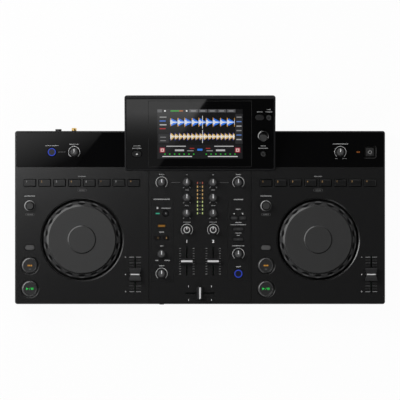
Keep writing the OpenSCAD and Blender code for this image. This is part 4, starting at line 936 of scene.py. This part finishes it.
class DJ_OT_printing(bpy.types.Operator):
    """Labels, scales and lines printed on the panels"""

    bl_idname = "dj_system.printing"
    bl_label = "Printing"

    def execute(self, context):
        look = print_settings()
        self.white = finish_settings().print_white
        self.grey = finish_settings().print_grey
        # Near black for the dark seams and for the painted shade round key holes
        self.black = shade(self.grey, 0.01)
        deck, strip, screen, scales = (
            Sheet(mount, ink()) for mount in (ON_DECK, ON_STRIP, ON_SCREEN, ON_DECK)
        )
        self.seams(deck)
        for side in DECK_SIDES:
            self.deck(deck, side)
        self.mixer(deck)
        self.headphones(deck)
        self.effects(deck)
        deck.grow("deck_printing", "bars")
        self.strip(strip)
        strip.grow("strip_printing", "bars")
        self.screen_labels(screen)
        screen.grow("screen_printing", "bars")
        for node in LEVEL_KNOBS + COLOUR_KNOBS:
            scales.move(node).spot(shade(self.white, 0.9))
        scales.grow("knob_scales", "arcs", Radius=look.arc_radius / MM, Sweep=280, Line=look.line / MM,
                    Thickness=look.ink / MM)
        for number in CHANNELS:
            deck.move(f"channel_fader_{number}")
            deck.figures(f"channel_{number}_figure", number, 5, 0, 34.6, shade(self.white, 1.3), 0.28)
        deck.move("effect_button").figures("effect_switch_word", "ON/OFF", 1.7, 0, 12.2, self.white, 0.06)
        return {"FINISHED"}

    def caption(self, sheet, rise, width, share=1.0, height=None, across=0.0):
        """A label behind the origin, in a share of white."""
        sheet.label(across, rise, width, shade(self.white, share), height)

    def pill(self, sheet, rise, height, letters):
        """A dim label inside the outline of a pill, made of thin bars with slanting corners."""
        line, width = 0.5, 15.6
        flat = width - height
        sheet.label(0, rise, letters, shade(self.grey, 1.7))
        for s in BOTH_WAYS:
            sheet.bar(0, rise + s * height / 2, flat, line, self.grey)
            sheet.bar(s * width / 2, rise, line, 0.45 * height, self.grey)
            for t in BOTH_WAYS:
                x, y = s * (flat / 2 + 0.32 * height), rise + t * 0.34 * height
                sheet.bar(x, y, 0.42 * height, line, self.grey, -45 * s * t)

    def key_gap_shade(self, sheet, x, width, depth):
        """Black lines round the hole of a key: painted shade in the gap round it."""
        line = 0.8
        edge = KEY_GAP + line / 2
        for s in BOTH_WAYS:
            sheet.bar(x + s * (width / 2 + edge), 0, line, depth + 2 * KEY_GAP, self.black)
            sheet.bar(x, s * (depth / 2 + edge), width + 2 * KEY_GAP, line, self.black)

    def seams(self, sheet):
        """Dark seams beside the mixer's panel."""
        panel = extent("mixer_panel")
        sheet.move("mixer_panel").pair(panel.x / 2, 0, 0.7, panel.y, self.black)

    def frame_lines(self, sheet, x, front, rear):
        """Faint frame round a block of controls, open at the rear where its heading stands."""
        line, width = 0.5, 38
        tint = shade(self.grey, 0.085)
        for s in BOTH_WAYS:
            sheet.bar(x + s * width / 2, (front + rear) / 2, line, rear - front, tint)
        sheet.bar(x, front, width, line, tint)

    def deck(self, sheet, side):
        """Labels and the tempo scale of one deck."""
        sheet.move(f"{side}_hot_cue_keys")
        self.caption(sheet, 11.4, 14, 0.5)
        self.pill(sheet, -12.8, 4.6, 9)
        sheet.move(f"{side}_loop_knob")
        self.caption(sheet, 17.2, 18, 0.8)
        self.pill(sheet, -15.4, 4, 10)
        sheet.move(f"{side}_hot_cue_keys")
        # Black lines round the holes of the hot cue keys, as painted shade in their gaps
        for step in HOT_KEY_STEPS:
            self.key_gap_shade(sheet, step, *HOT_KEY_SIZE)
        steps, pitch = 12, 5.06
        end = steps / 2 * pitch
        tints = (shade(self.grey, 0.9), shade(self.grey, 0.4), shade(self.white, 0.45))
        self.scale(sheet.move(f"{side}_tempo_slider"), steps, pitch, 5.9, 8.6, 0.9, tints)
        for rise, width, depth in ((end, 2.2, 0.7), (0, 1.6, 1.6), (-end, 2.4, 0.7), (-end, 0.7, 2.4)):
            sheet.bar(-16.8, rise, width, depth, self.white)

    def mixer(self, sheet):
        """Labels and scales of the two channels, the meter and the crossfader."""
        fader_tints = [shade(self.white, share) for share in (0.4, 0.28, 0.6)]
        for number in CHANNELS:
            sheet.move(f"trim_knob_{number}")
            self.caption(sheet, 14, 8.5)
            past_half = 0.56
            across = place(f"high_knob_{number}").x - sheet.x
            sheet.bar(past_half * across, 0, 15.5, 0.8, self.grey)
            for band, width in (("high", 2.4), ("mid", 5), ("low", 6), ("colour", 12)):
                sheet.move(f"{band}_knob_{number}")
                self.caption(sheet, 13.4, width, 0.6)
                if band != "colour":
                    sheet.pair(5.6, -8.7, 0.9, 2.8, shade(self.white, 0.42), 38)
            self.scale(sheet.move(f"channel_fader_{number}"), 10, 4.5, 11.8, 3.0, 0.7, fader_tints)
        sheet.move("mixer_panel", "low_knob_1")
        for i in range(METER_LIGHTS):
            sheet.bar(0, i * METER_PITCH, 1.8, 1.4, shade(self.grey, 1.3))
        sheet.move("crossfader")
        for s in BOTH_WAYS:
            for t in BOTH_WAYS:
                sheet.bar(s * 20.2, t * 11.8, 0.9, 3.2, self.white)

    def scale(self, sheet, steps, pitch, across, width, depth, tints):
        """Lines on both sides of a fader, in the tints of even, odd and end lines."""
        for i in range(steps + 1):
            tint = tints[2] if i in (0, steps) else tints[i % 2]
            sheet.pair(across, (i - steps / 2) * pitch, width, depth, tint)

    def headphones(self, sheet):
        """Labels of the headphone block."""
        mix, level, pairing = "headphone_mix_knob", "headphone_level_knob", "pairing_button"
        self.caption(sheet.move(mix, pairing), 25, 29, 0.85, 1.8)
        self.caption(sheet.move(pairing), 9.2, 16, 0.8, across=0.5)
        sheet.move(mix, pairing).bar(-7.4, 9.6, 3.0, 3.2, shade(self.white, 0.8))
        sheet.move(mix, level)
        self.frame_lines(sheet, 1.4, -14, place(pairing).y - sheet.y + 22)
        self.caption(sheet.move("master_cue_key"), -10.8, 6.5)
        for rise, width, across in ((14, 5.5, 0), (-11.4, 5, -8.6), (-11.4, 10, 9.6)):
            self.caption(sheet.move(mix), rise, width, across=across)
        self.caption(sheet.move(level), 14, 9)

    def effects(self, sheet):
        """Labels of the effect block."""
        knob, beat = "effect_level_knob", "beat_left_key"
        sheet.move(knob, beat)
        self.caption(sheet, 32.5, 16, 0.85, 1.8)
        self.caption(sheet, 15.4, 8, 0.7)
        for side in DECK_SIDES:
            sheet.move(f"beat_{side}_key").bar(0, 7.6, 2.0, 2.0, self.white, 45)
        sheet.move(knob, "effect_button")
        self.frame_lines(sheet, 0, -12, place(beat).y - sheet.y + 29)
        for node, rise, width, height in (
            ("effect_select_key", 11.4, 10, None), ("effect_select_key", 7.6, 26, 1.3),
            ("effect_assign_key", 11.0, 10, None), ("effect_assign_key", 6.8, 6, 1.3),
        ):
            self.caption(sheet.move(node), rise, width, 0.8, height)
        self.caption(sheet.move(knob), 14.2, 21)

    def strip(self, sheet):
        """Labels of the rear strip."""
        self.caption(sheet.move("mic_button"), 11.2, 23.5, 0.6)
        across = place("mic_level_knob").x - sheet.x
        sheet.bar(across / 2 - 2.2, 0, 13, 0.9, self.grey)
        self.caption(sheet.move("mic_level_knob"), 13.6, 17, 0.75)
        sheet.move("master_level_knob")
        self.caption(sheet, 14.2, 25, 0.75)
        for across, width in ((-7.2, 4.6), (7.2, 6.4)):
            self.caption(sheet, -11.4, width, 0.45, 1.1, across)

    def screen_labels(self, sheet):
        """Labels beside the screen, and the faint edge of its glass."""
        glass = extent("touch_screen")
        height = glass.y / math.cos(SCREEN_TILT)
        edge, line = shade(self.grey, 0.24), 0.6
        sheet.move("touch_screen").pair(glass.x / 2, 0, line, height, edge)
        for s in BOTH_WAYS:
            sheet.bar(0, s * height / 2, glass.x, line, edge)
        for node, widths in (
            ("settings_key", (16, 11)), ("menu_key", (17, 9)), ("tag_key", (11, 7)), ("back_key", (9,)),
        ):
            for row, width in enumerate(widths):
                self.caption(sheet.move(node), 10.5 + 4.4 * row, width, 0.7)


class DJ_OT_lights(bpy.types.Operator):
    """Lit marks on keys and buttons, and the level meter"""

    bl_idname = "dj_system.lights"
    bl_label = "Lights"

    def execute(self, context):
        tones = finish_settings()
        for side in DECK_SIDES:
            self.hot_keys(side, tones)
            self.cue(f"{side}_cue_button", tones)
            self.play(f"{side}_play_button", tones)
        for node in ("mic_button", "effect_button"):
            ring = top_of(node, "key", glow()).spot(tones.blue)
            ring.grow(f"{node}_ring", "rings", Radius=6.2, Line=1.4, Thickness=0.3)
            face = top_of(node, "key", glow()).spot(shade(tones.blue, 0.02))
            face.grow(f"{node}_glow", "pills", Width=11, Depth=11, Thickness=0.1)
        self.key_marks(tones)
        self.meter(tones)
        self.headphones(tones)
        self.power(tones)
        return {"FINISHED"}

    def hot_keys(self, side, tones):
        """Figures on the hot cue keys."""
        sheet = top_of(f"{side}_hot_cue_keys", "key", glow())
        for i, step in enumerate(HOT_KEY_STEPS):
            tint = shade(tones.print_white, 0.45)
            if i % 2 or side == "right":
                tint = shade(tones.meter_amber, 0.65)
            name = f"{side}_hot_cue_figure_{i + 1}"
            sheet.figures(name, str(i + 1), 3.0, step - 5.6, 2.2, tint, 0.12)

    def dish(self, node):
        """A sheet in the shallow dish of a round button."""
        return top_of(node, "key", glow(), 0.5)

    def cue(self, node, tones):
        """Three amber blocks over a dim line."""
        sheet = self.dish(node)
        for i in (-1, 0, 1):
            sheet.bar(i * 2.9, 0, 2.0, 2.6, shade(tones.amber, 0.7))
        sheet.bar(0, -6.4, 4, 1.2, tones.print_grey).grow(f"{node}_mark", "bars")

    def play(self, node, tones):
        """Green signs for play and pause with a slanting line between."""
        sheet = self.dish(node)
        for across in (3.2, 5.4):
            sheet.bar(across, 0, 1.4, 3.8, tones.green)
        sheet.bar(0, 0, 0.7, 4, tones.green, -25)
        for i in range(4):
            sheet.bar(i - 6, 0, 1, 3.8 - i, tones.green)
        sheet.grow(f"{node}_mark", "bars")

    def key_marks(self, tones):
        """Dim strokes on the effect and shift keys, and signs on the keys beside the screen."""
        for node, width in (
            ("beat_left_key", 6), ("beat_right_key", 4), ("effect_select_key", 4), ("effect_assign_key", 4),
            ("left_shift_key", 9), ("right_shift_key", 9),
        ):
            strokes = top_of(node, "key", ink()).label(0, 0, width, shade(tones.print_grey, 0.9))
            strokes.grow(f"{node}_strokes", "bars")
        dot = top_of("settings_key", "key", ink(), plane=SCREEN).spot(tones.print_white)
        dot.grow("settings_key_dot", "pills", Width=3.4, Depth=3.4, Thickness=0.1)
        for node in ("tag_key", "menu_key"):
            ring = top_of(node, "key", ink(), 0.25, SCREEN).spot(tones.print_grey)
            ring.grow(f"{node}_ring", "rings", Radius=3.3, Line=0.7, Thickness=0.2)

    def meter(self, tones):
        """Lit windows of the two meter columns, from lime at the front to red at the rear."""
        sheet = Sheet(ON_DECK, glow()).move("mixer_panel", "low_knob_1")
        half = METER_LIGHTS // 2
        tints = [tones.lime] * half + [tones.meter_amber] * half + [tones.red]
        for s in BOTH_WAYS:
            for i, tint in enumerate(tints):
                sheet.bar(s * 4.4, i * METER_PITCH, 1.8, 3.4, tint, thickness=0.4)
        sheet.grow("meter_lights", "bars")

    def headphones(self, tones):
        """Pairing light, lit master cue key, figures of the two cue keys, the pairing button's cross, and a
        black ring round the pairing button as painted shade in its recess.
        """
        light = Sheet(ON_DECK, glow()).move("headphone_mix_knob", "pairing_button")
        light.bar(-7, 0, 7, 2.2, tones.teal).grow("pairing_light", "bars")
        window = top_of("master_cue_key", "key", glow())
        window.bar(0, 0, 12, 3.4, shade(tones.amber, 0.32)).grow("master_cue_window", "bars")
        for number in CHANNELS:
            node = f"cue_key_{number}"
            tint = shade(tones.meter_amber, 0.9)
            top_of(node, "key", glow()).figures(f"{node}_figure", number, 2.8, 1, 0, tint, 0.1)
        cross = top_of("pairing_button", "key", ink(), 0.3)
        cross.pair(0, 0, 0.8, 3.4, shade(tones.print_white, 0.5), 35)
        cross.grow("pairing_mark", "bars")
        # A black ring on the deck round the pairing button: painted shade in the recess round it
        rim = Sheet(ON_DECK, ink()).move("pairing_button").spot(shade(tones.print_grey, 0.01))
        rim.grow("pairing_shade_ring", "rings", Radius=5.4, Line=1.0, Thickness=0.05)

    def power(self, tones):
        """Power sign on its key, a painted highlight along the right and front edges of the key's recess, and
        the small light beside it.
        """
        node = "power_button"
        white = shade(tones.print_white, 0.6)
        ring = top_of(node, "key", ink()).spot(white, 180)
        ring.grow("power_sign_ring", "arcs", Radius=2.9, Sweep=290, Line=0.8, Thickness=0.1)
        top_of(node, "key", ink()).bar(0, 2.4, 0.8, 2.6, white).grow("power_sign_bar", "bars")
        # Painted highlight: grey lines along the right and front edges of the power key's recess
        line, long, lit = 0.8, POWER_RECESS - 5, shade(tones.print_grey, 0.65)
        away = (POWER_RECESS + line) / 2
        edge = Sheet(ON_STRIP, ink()).move(node).bar(away, 0, line, long, lit)
        edge.bar(0, -away, long, line, shade(lit, 0.6)).grow("power_recess_highlight", "bars")
        light = Sheet(ON_STRIP, glow()).move(node).label(-20.6, 0, 6, tones.power_amber, 2.0)
        light.grow("power_light", "bars")


class DJ_OT_display(bpy.types.Operator):
    """Picture on the touch screen: two running waveforms between plain panes"""

    bl_idname = "dj_system.display"
    bl_label = "Display"

    def execute(self, context):
        tones = finish_settings()
        amber, blue = tuple(tones.amber), tuple(tones.blue)
        picture = Sheet(Mount(SCREEN, CHASSIS, "screen_glass"), lit_lens("display_picture", 0.9, 0.04))
        picture.x, picture.y = -PICTURE_WIDTH / 2, PICTURE_LOW
        pane = picture.pane
        pane(0, 0, PICTURE_WIDTH, PICTURE_HEIGHT, (0.002, 0.002, 0.0025), 0)
        self.header(pane)
        self.columns(pane)
        self.lane(pane, 68.5, 8.2, 12.4, (0.03, 0.20, 0.85), (0.75, 0.80, 0.9), amber, 3)
        self.lane(pane, 41.5, 7.2, 7.3, (0.75, 0.47, 0.16), (0.85, 0.83, 0.78), blue, 5)
        self.decks(pane)
        picture.grow("display_picture", "bars")
        return {"FINISHED"}

    def header(self, pane):
        """Tabs, level bar and dots along the top."""
        tab = (0.09, 0.09, 0.095)
        pane(0, 87, 8, 5.6, tab)
        for i in range(5):
            pane(56 + i * 16.4, 87, 15, 5.6, tab)
            pane(59 + i * 16.4, 89, 8.5, 1.3, (0.35, 0.35, 0.36), 2)
        pane(23, 88.6, 15, 2.2, (0.03, 0.35, 0.03))
        pane(38, 88.6, 7, 2.2, (0.4, 0.12, 0.02))
        for x in (12, 50):
            pane(x, 88.4, 2.6, 2.6, 0.9)

    def columns(self, pane):
        """Panes at both ends of the lanes."""
        field = (0.02, 0.02, 0.022)
        pane(136.5, 28, 12.8, 56, field)
        pane(2, 30, 18, 16, field)
        for i, tint in enumerate([0.25, (0.1, 0.2, 0.5), 0.4] * 2):
            pane(138.5, 77 - i * 8.4, 8.8, 2.0, tint, 2)
        for i, tint in enumerate((0.3, (0.05, 0.16, 0.6), 0.5, (0.4, 0.02, 0.02))):
            pane(4, 77 - i * 7.2, 12 - 1.5 * (i % 2), 2.0, tint, 2)
        for i in range(2):
            pane(5, 33 + i * 6.5, 10, 1.6, 0.2, 2)

    def lane(self, pane, centre, half, period, body, core, accent, seed):
        """A waveform: one thin bar for each step, with a bright core and an accent where a beat starts."""
        chance = random.Random(seed)
        start, end, step = 22.5, 135.5, 0.8
        for i in range(int((end - start) / step)):
            x = start + i * step
            beat = (i * step % period) / period
            tall = half * ((1 - beat) ** 0.8 * chance.uniform(0.75, 1.0) + 0.08)
            inner = tall * (0.55 if beat < 0.3 else 0.28)
            pane(x, centre - tall, step, 2 * tall, accent if beat < 0.1 else body)
            pane(x, centre - inner, step, 2 * inner, core, 2)
        pane(78.6, centre - 12, 0.9, 24, 0.8, 3)

    def decks(self, pane):
        """Lower panes of the two decks, mirrored about the middle. Each row is width, height, front, distance
        from the middle and tint."""
        centre = PICTURE_WIDTH / 2
        crimson = (0.35, 0.02, 0.05)
        pane(0, 0, PICTURE_WIDTH, 26, (0.006, 0.006, 0.007))
        pane(70, 15, 9, 3.6, (0.03, 0.20, 0.75), 2)
        for s in BOTH_WAYS:
            for width, height, y, off, tint in (
                (34, 1.5, 22.5, 42, 0.55), (16, 3.2, 14, 36, 0.5), (11, 1.5, 14, 17, 0.3),
                (8, 1.5, 18.5, 14, (0.4, 0.03, 0.02)), (52, 1.5, 3.2, 40, 0.75),
            ):
                pane(centre + s * off - width / 2, y, width, height, tint, 2)
            for i in range(7):
                pane(centre + s * (11 + i * 8.4) - 1, 7.2, 2, 2.4, (0.02, 0.45, 0.03), 2)
            for side, tint, layer in ((9.0, crimson, 2), (6.0, (0.75, 0.55, 0.5), 5), (2.6, crimson, 8)):
                pane(centre + s * 66 - side / 2, 16 - side / 2, side, side, tint, layer)


class DJ_OT_sockets(bpy.types.Operator):
    """Finishes of the sockets: plated barrels, shells and pins"""

    bl_idname = "dj_system.sockets"
    bl_label = "Sockets"

    def execute(self, context):
        tones = finish_settings()
        square, flat = DATA_SOCKETS_X
        tongues = [(square, SOCKET_Z, 5.8, 3.4), (flat, SOCKET_Z + 1.3, 11.3, 2.0)]
        metal = self.pins() + [(square, SOCKET_Z, 10.4, 9.6), (flat, SOCKET_Z, 14.4, 7.0)]
        dress(socket_plastic("socket_plastic", tones.case_black, tones.steel, metal, tongues), "sockets")
        reach, barrel_length, film = 5.4, 8.4, 0.03
        mount = Mount(raised(REAR, reach - barrel_length / 2 + film), CHASSIS, "socket")
        barrels = Sheet(mount, worn_metal("socket_gold", tones.gold, 0.22))
        for s in BOTH_WAYS:
            barrels.x, barrels.y = PHONO_X, s * 7.5 - SOCKET_Z
            barrels.spot(tones.gold)
        barrels.grow("phono_barrels", "rings", Radius=3.62, Line=1.2, Thickness=barrel_length)
        return {"FINISHED"}

    def pins(self):
        """Boxes round the output pins and the inlet's blades."""
        pin, circle = 2.6, 5
        boxes = []
        for x in OUTPUTS_X:
            for across, up in ((-circle, 0), (circle, 0), (0, -circle)):
                boxes.append((x + across, SOCKET_Z + up, pin, pin))
        for across, up in ((-7, 1.5), (0, 5), (7, 1.5)):
            boxes.append((INLET_X - across, SOCKET_Z + up, 2.2, 4.2))
        return boxes


class DJ_OT_stage(bpy.types.Operator):
    """Pale floor, studio lamps, reflector cards and the camera"""

    bl_idname = "dj_system.stage"
    bl_label = "Stage"

    def execute(self, context):
        stage = context.scene.dj_stage
        context.scene.view_settings.view_transform = "Standard"
        self.world(context.scene)
        self.floor(stage)
        self.lamp("key_lamp", (-0.95, 0.6, 1.1), stage.key_power, 0.9)
        self.lamp("fill_lamp", (1.3, 0.3, 1.5), stage.fill_power, 1.2)
        self.lamp("front_lamp", (0.1, -1.5, 1.3), stage.front_power, 1.2)
        self.cards()
        self.camera(context.scene, stage)
        return {"FINISHED"}

    def world(self, scene):
        """White towards the horizon at the rear left, dimmer at the front right and dark overhead. The camera
        sees a white backdrop, and reflections see it where the world is bright."""
        scene.world = bpy.data.worlds.new("studio")
        sky = Paint("studio", scene.world)
        x, y, z = sky.axes()
        low = 1 - sky.step(z, 0.08, 0.6)
        side = sky.step(0.6 * y - 0.8 * x, -0.7, 0.9)
        backdrop = sky.rays("Camera", "Transmission") + sky.rays("Glossy") * side * low
        level = 0.03 + (0.1 + 0.7 * side) * low
        sky.surface({"Color": WHITE, "Strength": level * (1 - backdrop) + backdrop})

    def board(self, name, corners, material):
        """A flat board of the stage."""
        mesh = bpy.data.meshes.new(name)
        mesh.from_pydata(corners, [], [(0, 1, 2, 3)])
        mesh.materials.append(material)
        made = linked(name, mesh)
        return made

    def floor(self, stage):
        """A wide pale floor. The camera and reflections see it near white, with a light shadow."""
        reach = 30.0
        paint = Paint("floor_paint")
        grey = shade(stage.floor_grey, 1.0)
        paint.surface({"Base Color": grey, "Roughness": 0.9, "Specular IOR Level": 0.0})
        seen = paint.rays("Camera", "Glossy", "Transmission")
        white = paint.node("ShaderNodeEmission", sockets={"Color": WHITE, "Strength": 1.0})
        pale = Value(paint, paint.shader.outputs[0])
        finish = paint.output(paint.node("ShaderNodeMixShader", sockets={0: 0.96 * seen, 1: pale, 2: white}))
        corners = [(-reach, -reach, 0), (reach, -reach, 0), (reach, reach, 0), (-reach, reach, 0)]
        self.board("floor", corners, finish)

    def lamp(self, name, where, strength, size):
        """A square soft lamp aimed at the object."""
        light = bpy.data.lights.new(name, "AREA")
        light.energy = strength
        light.size = size
        lamp = linked(name, light)
        lamp.location = where
        lamp.rotation_euler = (-Vector(where)).to_track_quat("-Z", "Y").to_euler()
        lamp.visible_glossy = False

    def cards(self):
        """A level card overhead, an upright one in front and one at the rear left."""
        overhead = [(-0.95, -0.6), (-0.773, -0.6), (0.067, 0.45), (-0.95, 0.45)]
        corners = [(x, y, 1.2) for x, y in overhead]
        self.card("overhead_card", corners, (-0.411, 0.911, 0), (0.173, 0.42), (0.07, 2.95))
        front = [(-0.75, 1.2), (-0.174, 1.2), (0.0204, 1.6), (-0.75, 1.6)]
        corners = [(x, -1.2, z) for x, z in front]
        self.card("front_card", corners, (0, 0, 1), (1.44, 1.545), (0.25, 1.63), 2.2)
        corners = [(-1.7, -0.3, 0.2), (-0.3, 1.7, 0.2), (-0.3, 1.7, 1.3), (-1.7, -0.3, 1.3)]
        self.card("side_card", corners, (0, 0, 1), (0.2, 1.3), (0.9, 0.9))

    def card(self, name, corners, aim, reach, glowing, bend=1.0):
        """A card that only reflections see. Along the aim its light goes from one strength to the other."""
        paint = Paint(name)
        x, y, z = paint.axes()
        share = paint.step(aim[0] * x + aim[1] * y + aim[2] * z, *reach, "LINEAR")
        fall = glowing[0] + (glowing[1] - glowing[0]) * share ** bend
        finish = paint.output(paint.node("ShaderNodeEmission", sockets={"Color": fall}))
        card = self.board(name, corners, finish)
        for kind in ("camera", "diffuse", "shadow", "transmission"):
            setattr(card, f"visible_{kind}", False)

    def camera(self, scene, stage):
        """A long lens straight above the deck, as wide as the photograph."""
        data = bpy.data.cameras.new("camera")
        data.lens = stage.lens
        data.sensor_width = 36
        data.clip_end = 100
        height = stage.photo_width * data.lens / data.sensor_width
        scene.camera = linked("camera", data)
        scene.camera.location = (0, stage.view_y, DECK_Z + height)


class DJ_PT_panel(bpy.types.Panel):
    """The steps that dress the model"""

    bl_idname = "DJ_PT_panel"
    bl_label = "DJ system"
    bl_space_type = "VIEW_3D"
    bl_region_type = "UI"
    bl_category = "DJ system"

    def draw(self, context):
        for operator in OPERATORS:
            self.layout.operator(operator.bl_idname)
        for settings in (context.scene.dj_finish, context.scene.dj_print, context.scene.dj_stage):
            for name in settings.__annotations__:
                self.layout.prop(settings, name)


SETTINGS = {"dj_finish": FinishSettings, "dj_print": PrintSettings, "dj_stage": StageSettings}
OPERATORS = (
    DJ_OT_case, DJ_OT_jog_wheels, DJ_OT_controls, DJ_OT_printing, DJ_OT_lights, DJ_OT_display, DJ_OT_sockets,
    DJ_OT_stage,
)


def register():
    for cls in (*SETTINGS.values(), *OPERATORS, DJ_PT_panel):
        bpy.utils.register_class(cls)
    for name, cls in SETTINGS.items():
        setattr(bpy.types.Scene, name, PointerProperty(type=cls))


def unregister():
    for name in SETTINGS:
        delattr(bpy.types.Scene, name)
    for cls in (DJ_PT_panel, *reversed(OPERATORS), *SETTINGS.values()):
        bpy.utils.unregister_class(cls)


def main():
    register()
    for operator in OPERATORS:
        group, name = operator.bl_idname.split(".")
        getattr(getattr(bpy.ops, group), name)()


if __name__ == "__main__":
    main()
